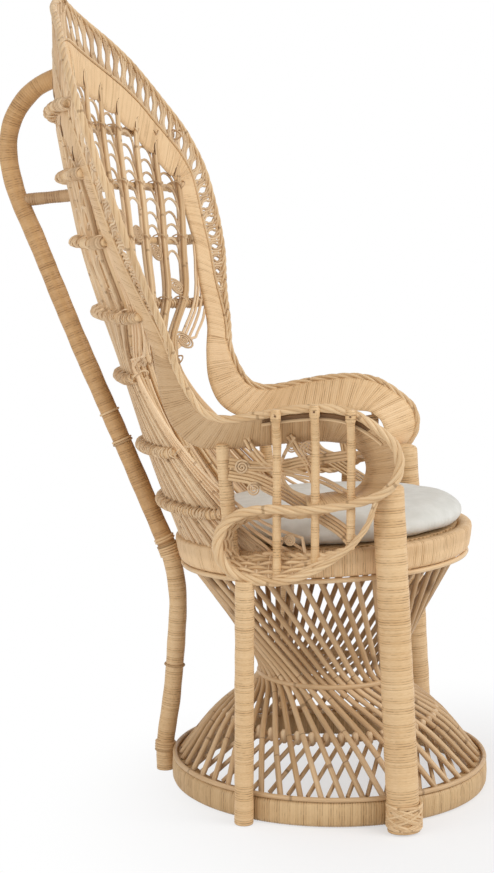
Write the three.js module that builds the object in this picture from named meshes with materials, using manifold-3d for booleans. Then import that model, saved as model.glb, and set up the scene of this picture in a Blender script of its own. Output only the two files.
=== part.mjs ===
// A rattan peacock chair: a fan back and scrolled arms round a seat on a twisted hourglass pedestal.
// Millimetres, +Z up, X across the chair, -Y to the front. Pieces are laid out from the pedestal's axis.

import * as THREE from 'three';
import { mergeVertices } from 'three/addons/utils/BufferGeometryUtils.js';
import loadManifold from 'manifold-3d';

const wasm = await loadManifold();
wasm.setup();

// Clearance between pieces that touch
const FIT = 0.3;
const RING_SEGMENTS = 36;

// Base ring and the cane along its top edge
const BASE_OUTER = 300;
const BASE_INNER = 262;
const BASE_HEIGHT = 47;
const BASE_ROUNDING = 5;
const BASE_FOOT_RISE = 8;
const BASE_SHOULDER = 6;
const EDGE_CANE_RADIUS = 4.2;

// Seat: a raked, slightly conical ring around a woven panel, with a round cushion on top
const SEAT_BACK = 14;
const SEAT_TOP = 487;
const SEAT_RAKE = 0.05;
const SEAT_OUTER = 281;
const SEAT_UNDER_OUTER = 272;
const SEAT_RING_WIDTH = 29;
const SEAT_RING_HEIGHT = 50;
const SEAT_ROUNDING = 5;
const SEAT_UNDER_ROUNDING = 4;
const SEAT_UNDER_RISE = 6;
const SEAT_CANE_INSET = 1;
const SEAT_PANEL_THICKNESS = 10;
const CUSHION_RADIUS = 256;
const CUSHION_CROWN = 72;
const CUSHION_FORWARD = 8;

// Pedestal rods, in groups that bunch together at the waist
const ROD_COUNT = 48;
const RODS_IN_GROUP = 6;
const ROD_RADIUS = 5.3;
const ROD_SIDES = 4;
const ROD_TOP_RADIUS = 253;
const ROD_FOOT_RADIUS = 283;
const WAIST_RADIUS = 122;
const WAIST_HEIGHT = 208;
const WAIST_ROD_RADIUS = 6.4;
const WAIST_BUNCHING = 0.96;
const WAIST_HOOP_RADIUS = 135.5;
const WAIST_HOOP_LIFT = 1;
const SKIRT_RADIUS = 218;
const SKIRT_HEIGHT = 130;
const UPPER_TWIST = 35;
const LOWER_TWIST = 30;
const SKIRT_TWIST = 9;
const LATTICE_HOOP_RADIUS = 200;
const LATTICE_FOOT_RADIUS = 270;
const LATTICE_TWIST = 14;
const LATTICE_HOOP_SHARE = 0.05;
const LATTICE_ROD_RADIUS = 4.2;
const HOOP_CANE_RADIUS = 4.5;

// Legs, pole and brace
const FRONT_LEG_RADIUS = 29;
const FRONT_LEG_TOP_RADIUS = 27.5;
const FRONT_LEG_FOOT = [292.2, -158.6];
const FRONT_LEG_TOP = [269.8, -123.2];
const FRONT_LEG_HEIGHT = 610;
const FRONT_LEG_SIDES = 12;
const SIDE_LEG_RADIUS = 17;
const SIDE_LEG_FOOT = [292.7, 123];
const SIDE_LEG_TOP = [318, 118];
const SIDE_LEG_HEIGHT = 423.5;
const SIDE_LEG_SIDES = 10;
const POLE_RADIUS = 17.5;
const POLE_ROUTE = [
  [318.4, 0], [318.4, 52], [305, 150], [296, 260], [293, 345], [305, 418], [331, 481], [399, 640], [486, 838],
  [561, 1021], [602, 1120], [614, 1195], [601, 1252], [562, 1301], [496, 1333],
];
const BRACE_RADIUS = 12;
const BRACE_AT_POLE = [600, 1094];
const BRACE_AT_BACK = [440, 1110];
const POLE_SIDES = 8;

// Back: height, half width of the fan, radius of its level arc, depth of the spine, spread of the outermost rib
const FAN = [
  [484, 262, 266, 280, 258],
  [600, 262, 285, 325, 230],
  [728, 262, 302, 366, 180],
  [813, 310, 388, 391, 196],
  [908, 388, 539, 421, 300],
  [1005, 482, 778, 444, 376],
  [1090, 522, 941, 458, 420],
  [1173, 538, 1077, 471, 446],
  [1240, 507, 1090, 481, 460],
  [1324, 397, 959, 490, 468],
  [1400, 247, 678, 500, 474],
  [1448, 98, 560, 506, 477],
  [1466, 0, 560, 507, 478],
];
const NECK_ROW = 3;
const SHEET_HALF = 5.5;
const BAND_HALF = 6;
const BAND_BEVEL = 0.7;
const BAND_NECK_WIDTH = 50;
const BAND_WIDTH = 70;
const BAND_WIDENS = [0.2, 0.5];
const LACE_NECK_WIDTH = 12;
const LACE_WIDTH = 58;
const LACE_TIP_WIDTH = 76;
const LACE_WIDENS = [0, 0.32];
const LACE_TIP_WIDENS = [0.6, 1];
const LACE_HALF = 4.5;
const LACE_CELLS = 19;
const BAND_STEPS = 2 * LACE_CELLS;
const LACE_OPENS_AT = 22;
const LACE_SEAM = 0.01;
const LACE_HOLE = [[-0.12, 0.86], [0.22, 0.68], [0.3, 0.42], [0.12, 0.26], [-0.22, 0.46], [-0.3, 0.72]];
const RIBS_EACH_SIDE = 6;
const RIB_LEVELS = [484, 546, 648, 779, 898, 1023, 1133, 1241, 1330];
const RIB_LAST_STEP = 40;
const RIB_FOOT_WIDTH = 54;
const RIB_NECK_WIDTH = 28;
const RIB_TOP_WIDTH = 13;
const ARCH_PITCH = 62;
const ARCH_RISE = 42;
const ARCH_CANE_RADIUS = 3.2;
const HOOP_LEVELS = [546, 648, 779, 898, 1023, 1133, 1241];
const HOOP_RADIUS = 10;
const HOOP_STANDOFF = 2;
const WIDEST_ARC = 0.97;
const RIB_NARROWS = [500, 728, 900];
const ARCH_TURNS = [0, 45, 90, 135, 180];
const ARCH_CLEARANCE = 6;
const SEARCH_STEP = 2;

// Snail coils of split cane
const COIL_TURNS = 2.25;
const COIL_OUTER = 18;
const COIL_INNER = 5;
const COIL_CANE_RADIUS = 2.4;
const COIL_STEPS = 16;
const FAN_COIL_LEVELS = [1092, 1082, 1062, 1031, 993, 923, 818];
const FIRST_COIL_COLUMN = 3;
const FAN_COIL_STALK = 62;
const OUTER_COLUMN_WIDTH = 54;

// Arms
const ARM_PLANE = 285;
const ARM_BAND_WIDTH = 62;
const ARM_NECK_WIDTH = 45;
const NECK_LAP = 3;
const ARM_BAND_STEPS = 26;
const ARM_ROUTE = [
  [254, 244, 762], [268, 213, 722], [281, 165, 704], [ARM_PLANE, 100, 703], [ARM_PLANE, 20, 709],
];
const ARM_ROLL = { y: -40, z: 648, radius: 64, turns: [90, 60, 30, 0, -30, -60] };
const ARM_TURNS_OVER = [0, 0.4];
const ARM_WIDENS = [0.4, 0.75];
const ARM_FRAME_PLANE = 322;
const ARM_FRAME_RADIUS = 8;
const ARM_FRAME_STEPS = 35;
const SCROLL_START = [
  [188, 718, ARM_PLANE + 2], [140, 719, 316], [96, 729, ARM_FRAME_PLANE], [40, 739, ARM_FRAME_PLANE],
];
const SCROLL_FRONT = { y: -66, z: 676, radius: 70, turns: [95, 60, 30, 0, -30, -60] };
const SCROLL_RETURN = [[-46, 572, ARM_FRAME_PLANE], [60, 551, ARM_FRAME_PLANE]];
const SCROLL_LOOP = { y: 114, z: 489, radius: 57, turns: [110, 145, 180, 215, 250] };
const SCROLL_END = [
  [30, 440, ARM_FRAME_PLANE], [-50, 474, ARM_FRAME_PLANE], [-84, 507, ARM_FRAME_PLANE], [-118, 556, 299.8],
];
const ARM_BAR_RADIUS = 7.5;
const ARM_BARS = [64, -2, -63];
const ARM_BAR_SEARCH = 400;
const ARM_POST_RADIUS = 13;
const ARM_POST_FOOT_Y = 145;
const ARM_POST_FOOT_LIFT = 8;
const ARM_POST_TOP = [283, 162, 690];
const ARM_CANE_RADIUS = 4;
const ARM_CANE_DROP = 6;
const ARM_CANE_STEPS = 10;
const RISING_CANE = { ringTurn: 76, route: [[-40, 540], [10, 600], [70, 645], [112, 690]] };
const FALLING_CANE = { ringTurn: 110, route: [[80, 545], [20, 600], [-20, 640], [-32, 700]] };
const ARM_COILS = [[[97, 505], [62, 533], -1], [[46, 575], [76, 602], 1], [[-15, 573], [-36, 602], -1]];

const RATTAN = { color: 0xd9b37c, roughness: 0.62, metalness: 0 };
const WRAPPED_RATTAN = { color: 0xcfa468, roughness: 0.55, metalness: 0 };
const CANVAS = { color: 0xeeece6, roughness: 0.9, metalness: 0 };

const point = (x, y, z) => new THREE.Vector3(x, y, z);
const radians = THREE.MathUtils.degToRad;
const lerp = THREE.MathUtils.lerp;
const SIDES = [['left', 1], ['right', -1]];

// A place by radius and turn, where turn 0 is the front and 90 is the sitter's right
function polar(radius, turn, z, back = 0) {
  return point(-radius * Math.sin(radians(turn)), back - radius * Math.cos(radians(turn)), z);
}

const seatTopAt = (y) => SEAT_TOP - SEAT_RAKE * (y - SEAT_BACK);
const seatUnderAt = (y) => seatTopAt(y) - SEAT_RING_HEIGHT;

// Turns a closed surface the right way round, by the sign of its volume
function facingOut(geometry) {
  const index = geometry.getIndex().array;
  const at = geometry.getAttribute('position');
  const corners = [0, 1, 2].map(() => new THREE.Vector3());
  let volume = 0;
  for (let i = 0; i < index.length; i += 3) {
    corners.forEach((corner, k) => corner.fromBufferAttribute(at, index[i + k]));
    volume += corners[0].dot(corners[1].cross(corners[2]));
  }
  if (volume < 0) {
    for (let i = 0; i < index.length; i += 3) {
      [index[i + 1], index[i + 2]] = [index[i + 2], index[i + 1]];
    }
  }
  return geometry;
}

// A solid through rings of equally many points, ended by caps or closed on itself
function loft(rings, closed = false) {
  const count = rings[0].length;
  const corners = rings.flat();
  const faces = [];
  const spans = closed ? rings.length : rings.length - 1;
  for (let i = 0; i < spans; i += 1) {
    const near = i * count;
    const far = ((i + 1) % rings.length) * count;
    for (let k = 0; k < count; k += 1) {
      const next = (k + 1) % count;
      faces.push(near + k, near + next, far + next, near + k, far + next, far + k);
    }
  }
  if (!closed) {
    const last = (rings.length - 1) * count;
    const first = corners.push(middleOf(rings[0])) - 1;
    const final = corners.push(middleOf(rings[rings.length - 1])) - 1;
    for (let k = 0; k < count; k += 1) {
      const next = (k + 1) % count;
      faces.push(first, next, k, final, last + k, last + next);
    }
  }
  const geometry = new THREE.BufferGeometry();
  geometry.setAttribute('position', new THREE.Float32BufferAttribute(corners.flatMap((p) => p.toArray()), 3));
  geometry.setIndex(faces);
  return facingOut(geometry);
}

function middleOf(ring) {
  const middle = new THREE.Vector3();
  ring.forEach((p) => middle.add(p));
  return middle.divideScalar(ring.length);
}

function circle(sides, radius = 1) {
  return Array.from({ length: sides }, (_, k) => {
    const turn = (2 * Math.PI * k) / sides;
    return [radius * Math.cos(turn), radius * Math.sin(turn)];
  });
}

// A round cane through points, with its section carried along without twisting
function cane(points, radius, sides, ends = {}) {
  const tangents = points.map((p, i) => {
    const before = points[Math.max(i - 1, 0)];
    const after = points[Math.min(i + 1, points.length - 1)];
    return after.clone().sub(before).normalize();
  });
  tangents[0] = ends.start ?? tangents[0];
  tangents[points.length - 1] = ends.end ?? tangents[points.length - 1];
  const across = Math.abs(tangents[0].z) < 0.8 ? point(0, 0, 1) : point(1, 0, 0);
  let side = across.clone().cross(tangents[0]).normalize();
  const rings = points.map((p, i) => {
    side = side.clone().addScaledVector(tangents[i], -side.dot(tangents[i])).normalize();
    const up = tangents[i].clone().cross(side);
    return circle(sides, radius).map(([a, b]) => p.clone().addScaledVector(side, a).addScaledVector(up, b));
  });
  return loft(rings);
}

// A rod cut level at each of its points, so that its ends stand flat
function levelRod(points, radii, sides) {
  return points.map((p, i) => {
    const before = points[Math.max(i - 1, 0)];
    const after = points[Math.min(i + 1, points.length - 1)];
    const inward = p.clone().sub(before).normalize();
    const along = inward.add(after.clone().sub(p).normalize()).normalize();
    const travel = point(along.x, along.y, 0);
    const stretch = 1 / Math.abs(along.z);
    const ahead = travel.lengthSq() > 0 ? travel.normalize() : point(1, 0, 0);
    const aside = point(-ahead.y, ahead.x, 0);
    return circle(sides, radii[i]).map(([a, b]) => (
      p.clone().addScaledVector(ahead, a * stretch).addScaledVector(aside, b)
    ));
  });
}

// A drawing's outline and holes as flat triangles
function filled(outline, holes = []) {
  const corners = [outline, ...holes].flat();
  return THREE.ShapeUtils.triangulateShape(outline, holes).map((face) => face.map((i) => corners[i]));
}

// Flat triangles, given thickness with walls at their border, and bent on to a surface by toPlace
function wrapped(faces, half, toPlace) {
  const border = new Map();
  faces.forEach((face) => face.forEach((from, k) => {
    const to = face[(k + 1) % 3];
    const key = [from, to].map((p) => `${p.x} ${p.y}`).sort().join(' ');
    if (!border.delete(key)) {
      border.set(key, [from, to]);
    }
  }));
  const front = (p) => toPlace(p.x, p.y, half);
  const rear = (p) => toPlace(p.x, p.y, -half);
  const corners = faces.flatMap(([a, b, c]) => [front(a), front(b), front(c), rear(a), rear(c), rear(b)]);
  border.forEach(([from, to]) => {
    corners.push(front(from), rear(from), rear(to), front(from), rear(to), front(to));
  });
  const geometry = new THREE.BufferGeometry().setFromPoints(corners);
  return facingOut(mergeVertices(geometry, 1e-3));
}

// A ring turned from a closed outline of radius and height
function turned(outline) {
  const profile = [...outline, outline[0]].map(([r, z]) => new THREE.Vector2(r, z));
  return new THREE.LatheGeometry(profile, RING_SEGMENTS).rotateX(Math.PI / 2);
}

function bareGeometry(geometry) {
  const bare = geometry.clone();
  bare.deleteAttribute('normal');
  bare.deleteAttribute('uv');
  return facingOut(mergeVertices(bare, 1e-3));
}

function solid(geometry) {
  const bare = bareGeometry(geometry);
  const mesh = new wasm.Mesh({
    numProp: 3,
    vertProperties: new Float32Array(bare.getAttribute('position').array),
    triVerts: new Uint32Array(bare.getIndex().array),
  });
  return new wasm.Manifold(mesh);
}

// The largest connected body, back as geometry
function geometryOf(manifold) {
  const bodies = manifold.decompose().sort((a, b) => b.volume() - a.volume());
  const mesh = bodies[0].getMesh();
  const geometry = new THREE.BufferGeometry();
  geometry.setAttribute('position', new THREE.Float32BufferAttribute(mesh.vertProperties, 3));
  geometry.setIndex(Array.from(mesh.triVerts));
  return geometry;
}

const fused = (geometries) => geometries.map(solid).reduce((whole, piece) => whole.add(piece));

const chair = new THREE.Group();
const seat = new THREE.Group();
seat.position.set(0, SEAT_BACK, SEAT_TOP);
seat.rotation.x = -Math.atan(SEAT_RAKE);
chair.add(seat);

function place(name, geometry, look, parent = chair) {
  const mesh = new THREE.Mesh(geometry, new THREE.MeshStandardMaterial(look));
  mesh.name = name;
  parent.add(mesh);
}

// Base ring
place('base_ring', turned([
  [BASE_INNER, 0], [BASE_OUTER - BASE_ROUNDING, 0], [BASE_OUTER, BASE_FOOT_RISE],
  [BASE_OUTER, BASE_HEIGHT - BASE_SHOULDER], [BASE_OUTER - BASE_ROUNDING, BASE_HEIGHT],
  [BASE_INNER, BASE_HEIGHT],
]), WRAPPED_RATTAN);

const edgeCane = (radius, z) => turned(circle(4, EDGE_CANE_RADIUS).map(([a, b]) => [radius + a, z + b]));
place('base_ring_cane', edgeCane(BASE_OUTER - BASE_ROUNDING, BASE_HEIGHT + EDGE_CANE_RADIUS + FIT), RATTAN);

// Pedestal rods: each turns one way as it drops from the seat ring through the waist to the base ring
function pedestalRod(number) {
  const pitch = 360 / ROD_COUNT;
  const group = Math.floor(number / RODS_IN_GROUP);
  const centre = (group + 0.5) * RODS_IN_GROUP * pitch;
  const start = (number + 0.5) * pitch;
  const bunched = centre + (start - centre) * WAIST_BUNCHING;
  const top = polar(ROD_TOP_RADIUS, start, 0, SEAT_BACK);
  top.z = seatUnderAt(top.y) - FIT;
  const skirtTurn = start - UPPER_TWIST - LOWER_TWIST;
  const points = [
    top,
    polar(WAIST_RADIUS, bunched - UPPER_TWIST, WAIST_HEIGHT),
    polar(SKIRT_RADIUS, skirtTurn, SKIRT_HEIGHT),
    polar(ROD_FOOT_RADIUS, skirtTurn - SKIRT_TWIST, BASE_HEIGHT + FIT),
  ];
  const rings = levelRod(points, [ROD_RADIUS, WAIST_ROD_RADIUS, ROD_RADIUS, ROD_RADIUS], ROD_SIDES);
  rings[0].forEach((p) => { p.z = seatUnderAt(p.y) - FIT; });
  return loft(rings);
}

for (let group = 0; group < ROD_COUNT / RODS_IN_GROUP; group += 1) {
  const rods = Array.from({ length: RODS_IN_GROUP }, (_, k) => pedestalRod(group * RODS_IN_GROUP + k));
  place(`pedestal_rods_${group + 1}`, geometryOf(fused(rods)), RATTAN);
}

place('waist_hoop', new THREE.TorusGeometry(WAIST_HOOP_RADIUS, HOOP_CANE_RADIUS, 4, RING_SEGMENTS)
  .translate(0, 0, WAIST_HEIGHT + WAIST_HOOP_LIFT), RATTAN);

// Skirt lattice: a hoop inside the rods, with short rods that cross them on the way to the base ring.
// It is drawn as a comb, in rod spacings along and in shares of the way down, and bent into a cone
function skirtLattice() {
  const lean = (LATTICE_TWIST * ROD_COUNT) / 360;
  const spacing = (radius) => (2 * Math.PI * radius) / ROD_COUNT;
  const root = LATTICE_ROD_RADIUS / spacing(LATTICE_HOOP_RADIUS);
  const tip = LATTICE_ROD_RADIUS / spacing(LATTICE_FOOT_RADIUS);
  const faces = [];
  for (let rod = 0; rod < ROD_COUNT; rod += 1) {
    const next = rod + 1 < ROD_COUNT ? rod + 1 : rod + 1 - FIT / spacing(LATTICE_HOOP_RADIUS);
    const middle = rod + 0.5;
    const low = LATTICE_HOOP_SHARE;
    faces.push(...filled([
      [rod, -low], [next, -low], [next, low], [middle + root, low], [middle - root, low], [rod, low],
    ].map(([x, y]) => new THREE.Vector2(x, y))));
    faces.push(...filled([
      [middle - root, low], [middle + root, low], [middle + lean + tip, 1], [middle + lean - tip, 1],
    ].map(([x, y]) => new THREE.Vector2(x, y))));
  }
  const drop = SKIRT_HEIGHT - BASE_HEIGHT - FIT;
  const spread = LATTICE_FOOT_RADIUS - LATTICE_HOOP_RADIUS;
  const outward = new THREE.Vector2(drop, spread).normalize();
  return wrapped(faces, LATTICE_ROD_RADIUS, (s, t, proud) => {
    const lift = t < 1 ? proud * outward.y : 0;
    const radius = LATTICE_HOOP_RADIUS + t * spread + proud * (t < 1 ? outward.x : 1 / outward.x);
    return polar(radius, (s * 360) / ROD_COUNT, SKIRT_HEIGHT - t * drop + lift);
  });
}

place('skirt_lattice', skirtLattice(), RATTAN);

// Seat ring, its lower cane and the panel wedged inside it
const seatInner = SEAT_OUTER - SEAT_RING_WIDTH;
const seatUnderInner = SEAT_UNDER_OUTER - SEAT_RING_WIDTH;
place('seat_ring', turned([
  [seatUnderInner, -SEAT_RING_HEIGHT], [SEAT_UNDER_OUTER - SEAT_UNDER_ROUNDING, -SEAT_RING_HEIGHT],
  [SEAT_UNDER_OUTER, SEAT_UNDER_RISE - SEAT_RING_HEIGHT], [SEAT_OUTER, -SEAT_ROUNDING],
  [SEAT_OUTER - SEAT_ROUNDING, 0], [seatInner, 0],
]), WRAPPED_RATTAN, seat);
place('seat_ring_cane', edgeCane(
  SEAT_UNDER_OUTER - EDGE_CANE_RADIUS - SEAT_CANE_INSET,
  -SEAT_RING_HEIGHT - EDGE_CANE_RADIUS - FIT,
), RATTAN, seat);
const panelTaper = (SEAT_PANEL_THICKNESS * (seatInner - seatUnderInner)) / SEAT_RING_HEIGHT;
const panelRadius = seatInner - FIT;
place('seat_panel', new THREE.CylinderGeometry(
  panelRadius,
  panelRadius - panelTaper,
  SEAT_PANEL_THICKNESS,
  RING_SEGMENTS,
).rotateX(Math.PI / 2).translate(0, 0, -SEAT_PANEL_THICKNESS / 2), RATTAN, seat);

// Cushion: crowned on top, drawn in to a seam round its side and flat where it lies on the seat
const CUSHION_PROFILE = [
  [0, 0], [0.87, 0], [0.965, 0.1], [0.982, 0.31], [1, 0.36], [0.982, 0.41], [0.965, 0.58], [0.88, 0.79],
  [0.66, 0.93], [0.35, 0.985], [0, 1],
];
const cushionOutline = CUSHION_PROFILE.map(([r, z]) => (
  new THREE.Vector2(r * CUSHION_RADIUS, FIT + z * CUSHION_CROWN)
));
place('cushion', new THREE.LatheGeometry(cushionOutline, RING_SEGMENTS).rotateX(Math.PI / 2)
  .translate(0, -CUSHION_FORWARD, 0), CANVAS, seat);

// Legs stand outside the base ring; the front pair carries the arm bands, the side pair the scroll frames
function leg(foot, top, height, radii, sides, side) {
  const ends = [point(side * foot[0], foot[1], 0), point(side * top[0], top[1], height)];
  return loft(levelRod(ends, radii, sides));
}

function frontLeg(side, grown = 0) {
  const radii = [FRONT_LEG_RADIUS + grown, FRONT_LEG_TOP_RADIUS + grown];
  return leg(FRONT_LEG_FOOT, FRONT_LEG_TOP, FRONT_LEG_HEIGHT + grown, radii, FRONT_LEG_SIDES, side);
}

SIDES.forEach(([hand, side]) => {
  place(`front_leg_${hand}`, frontLeg(side), WRAPPED_RATTAN);
  place(`side_leg_${hand}`, leg(
    SIDE_LEG_FOOT, SIDE_LEG_TOP, SIDE_LEG_HEIGHT, [SIDE_LEG_RADIUS, SIDE_LEG_RADIUS], SIDE_LEG_SIDES, side,
  ), WRAPPED_RATTAN);
});

// Back surface. Each column of the table is followed by a smooth curve through its rows
function fanValue(column, z) {
  const last = FAN.length - 2;
  let row = 0;
  while (row < last && FAN[row + 1][0] < z) {
    row += 1;
  }
  const slope = (i) => {
    const low = Math.max(i - 1, 0);
    const high = Math.min(i + 1, FAN.length - 1);
    return (FAN[high][column] - FAN[low][column]) / (FAN[high][0] - FAN[low][0]);
  };
  const span = FAN[row + 1][0] - FAN[row][0];
  const t = (z - FAN[row][0]) / span;
  const rise = (3 - 2 * t) * t * t;
  const leave = t * (1 - t) * (1 - t) * span * slope(row);
  const arrive = t * t * (t - 1) * span * slope(row + 1);
  return lerp(FAN[row][column], FAN[row + 1][column], rise) + leave + arrive;
}

const arcRadius = (z) => fanValue(2, z);
const spineDepth = (z) => fanValue(3, z);

function onBack(x, z, proud = 0) {
  const radius = arcRadius(z);
  const place3 = point(x, spineDepth(z) - radius + Math.sqrt(radius * radius - x * x), z);
  return place3.addScaledVector(backNormal(x, z), proud);
}

// The back's normal, pointing to the rear
function backNormal(x, z) {
  const step = 2;
  const depth = (px, pz) => {
    const radius = arcRadius(pz);
    return spineDepth(pz) - radius + Math.sqrt(Math.max(radius * radius - px * px, 1));
  };
  const slopeX = (depth(x + step, z) - depth(x - step, z)) / (2 * step);
  const slopeZ = (depth(x, z + step) - depth(x, z - step)) / (2 * step);
  return point(-slopeX, 1, -slopeZ).normalize();
}

// Edge of the fan on one side, from the neck up to the tip
const edgePoints = (side) => FAN.slice(NECK_ROW).map(([z, width]) => onBack(side * width, z));

// The fan's edge, from the right neck over the tip to the left neck
const edgeCurve = new THREE.CatmullRomCurve3(
  [...edgePoints(-1), ...edgePoints(1).reverse().slice(1)],
  false,
  'centripetal',
);

// A frame on that edge: its place, the way along it, the way in across the border, and the normal to the rear
function edgeFrame(share) {
  const at = edgeCurve.getPointAt(share);
  const along = edgeCurve.getTangentAt(share);
  const normal = backNormal(at.x, at.z);
  normal.addScaledVector(along, -normal.dot(along)).normalize();
  const inward = normal.clone().cross(along);
  const climb = 1 - Math.abs(1 - 2 * share);
  return { at, along, normal, inward, climb };
}

// Border and band are narrow at the neck and widen on the climb; the border widens once more towards the tip
const easing = THREE.MathUtils.smoothstep;
const bandWidth = (climb) => lerp(BAND_NECK_WIDTH, BAND_WIDTH, easing(climb, ...BAND_WIDENS));
function laceWidth(climb) {
  const lower = lerp(LACE_NECK_WIDTH, LACE_WIDTH, easing(climb, ...LACE_WIDENS));
  return lerp(lower, LACE_TIP_WIDTH, easing(climb, ...LACE_TIP_WIDENS));
}

function across(frame, inset, proud) {
  return frame.at.clone().addScaledVector(frame.inward, inset).addScaledVector(frame.normal, proud);
}

// A place on the back, a stretch in from its edge
function inFromEdge(frame, inset, proud) {
  const spot = across(frame, inset, 0);
  return onBack(spot.x, spot.z, proud);
}

function flatSection(width, half) {
  const bevel = half * BAND_BEVEL;
  return [[0, 0], [bevel, -half], [width - bevel, -half], [width, 0], [width - bevel, half], [bevel, half]];
}

// Band round the fan, just inside the border
function backBand(grown = 0) {
  const rings = Array.from({ length: BAND_STEPS + 1 }, (_, i) => {
    const frame = edgeFrame(i / BAND_STEPS);
    const inset = laceWidth(frame.climb) - grown;
    const section = flatSection(bandWidth(frame.climb) + 2 * grown, BAND_HALF + grown);
    return section.map(([a, b]) => inFromEdge(frame, inset + a, b));
  });
  return loft(rings);
}

place('back_band', backBand(), WRAPPED_RATTAN);
const bandRoom = solid(backBand(FIT));

// Arm band: from the neck forward along the arm, then rolled down over the front leg
function armFrames(side) {
  const neck = edgeFrame(side > 0 ? 1 : 0);
  const leave = neck.along.clone().multiplyScalar(side);
  const start = inFromEdge(neck, laceWidth(0) + bandWidth(0) / 2, 0).addScaledVector(leave, -NECK_LAP);
  const roll = ARM_ROLL.turns.map((turn) => point(
    side * ARM_PLANE,
    ARM_ROLL.y - ARM_ROLL.radius * Math.cos(radians(turn)),
    ARM_ROLL.z + ARM_ROLL.radius * Math.sin(radians(turn)),
  ));
  const route = [start, ...ARM_ROUTE.map(([x, y, z]) => point(side * x, y, z)), ...roll];
  const curve = new THREE.CatmullRomCurve3(route, false, 'centripetal');
  return Array.from({ length: ARM_BAND_STEPS + 1 }, (_, i) => {
    const t = i / ARM_BAND_STEPS;
    const at = curve.getPointAt(t);
    const along = i === 0 ? leave : curve.getTangentAt(t);
    const normal = neck.normal.clone().lerp(point(side, 0, 0), easing(t, ...ARM_TURNS_OVER));
    normal.addScaledVector(along, -normal.dot(along)).normalize();
    const inward = normal.clone().cross(along).multiplyScalar(side);
    return { at, normal, inward, t };
  });
}

function armBand(side, grown = 0) {
  const rings = armFrames(side).map((frame) => {
    const width = lerp(ARM_NECK_WIDTH, ARM_BAND_WIDTH, easing(frame.t, ...ARM_WIDENS)) + 2 * grown;
    return flatSection(width, BAND_HALF + grown).map(([a, b]) => across(frame, a - width / 2, b));
  });
  return loft(rings);
}

SIDES.forEach(([hand, side]) => {
  const rolled = solid(armBand(side)).subtract(solid(frontLeg(side, FIT))).subtract(bandRoom);
  place(`arm_band_${hand}`, geometryOf(rolled), WRAPPED_RATTAN);
});
const armBandRoom = (side) => solid(armBand(side, FIT));

// Lace border: a pierced strip with slanted almond openings, drawn flat and then wrapped along the edge,
// one half each side of the tip
function laceBorder(side) {
  const faces = [];
  for (let cell = 0; cell < LACE_CELLS; cell += 1) {
    const next = Math.min(cell + 1, LACE_CELLS - LACE_SEAM);
    const outline = [[cell, 0], [next, 0], [next, 1], [cell, 1]].map(([s, t]) => new THREE.Vector2(s, t));
    const hole = LACE_HOLE.map(([s, t]) => new THREE.Vector2(cell + 0.5 + s, t));
    faces.push(...filled(outline, laceWidth(cell / LACE_CELLS) > LACE_OPENS_AT ? [hole] : []));
  }
  return wrapped(faces, LACE_HALF, (s, t, proud) => {
    const climb = s / LACE_CELLS;
    const frame = edgeFrame(side < 0 ? climb / 2 : 1 - climb / 2);
    return inFromEdge(frame, t * (laceWidth(frame.climb) - FIT), proud);
  });
}

SIDES.forEach(([hand, side]) => place(`lace_border_${hand}`, laceBorder(side), RATTAN));

const border = Array.from({ length: BAND_STEPS + 1 }, (_, i) => edgeFrame(i / BAND_STEPS));

// Whether a place on the back is clear of the band, or of a share of its width
function clearOfBand(x, z, share, margin = 0) {
  const spot = onBack(x, z);
  return border.every((frame) => {
    const reach = laceWidth(frame.climb) + share * bandWidth(frame.climb);
    return frame.at.distanceTo(spot) > reach + margin;
  });
}

// Ribs: canes in pairs that stand on the seat ring, gather at the neck and spread into the fan
function ribTurn(number, z) {
  return (number / RIBS_EACH_SIDE) * Math.asin(Math.min(fanValue(4, z) / arcRadius(z), WIDEST_ARC));
}

const ribPlace = (number, z) => arcRadius(z) * Math.sin(ribTurn(number, z));

function ribWidth(z) {
  const [foot, neck, open] = RIB_NARROWS;
  const lower = lerp(RIB_FOOT_WIDTH, RIB_NECK_WIDTH, easing(z, foot, neck));
  return lerp(lower, RIB_TOP_WIDTH, easing(z, neck, open));
}

// Section of a rib, two canes side by side
const PAIR = [[-0.5, 0], [-0.27, -1], [0, -0.75], [0.27, -1], [0.5, 0], [0.27, 1], [0, 0.75], [-0.27, 1]];

// The level at which a rib has run halfway into the band
function ribTop(number) {
  let z = FAN[NECK_ROW][0];
  while (clearOfBand(ribPlace(number, z), z, 0.5)) {
    z += SEARCH_STEP;
  }
  return z;
}

function rib(number, grown = 0) {
  const step = 6;
  const top = ribTop(number);
  const levels = [...RIB_LEVELS.filter((z) => z < top - RIB_LAST_STEP), top];
  const rings = levels.map((z) => {
    const at = onBack(ribPlace(number, z), z);
    const above = onBack(ribPlace(number, z + step), z + step);
    const along = above.sub(at).normalize();
    const normal = backNormal(at.x, z);
    normal.addScaledVector(along, -normal.dot(along)).normalize();
    const aside = along.clone().cross(normal);
    const width = ribWidth(z) + 2 * grown;
    return PAIR.map(([a, b]) => (
      at.clone().addScaledVector(aside, a * width).addScaledVector(normal, b * (SHEET_HALF + grown))
    ));
  });
  rings[0].forEach((p) => { p.z = seatTopAt(p.y) + FIT - grown; });
  return loft(rings);
}

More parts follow.
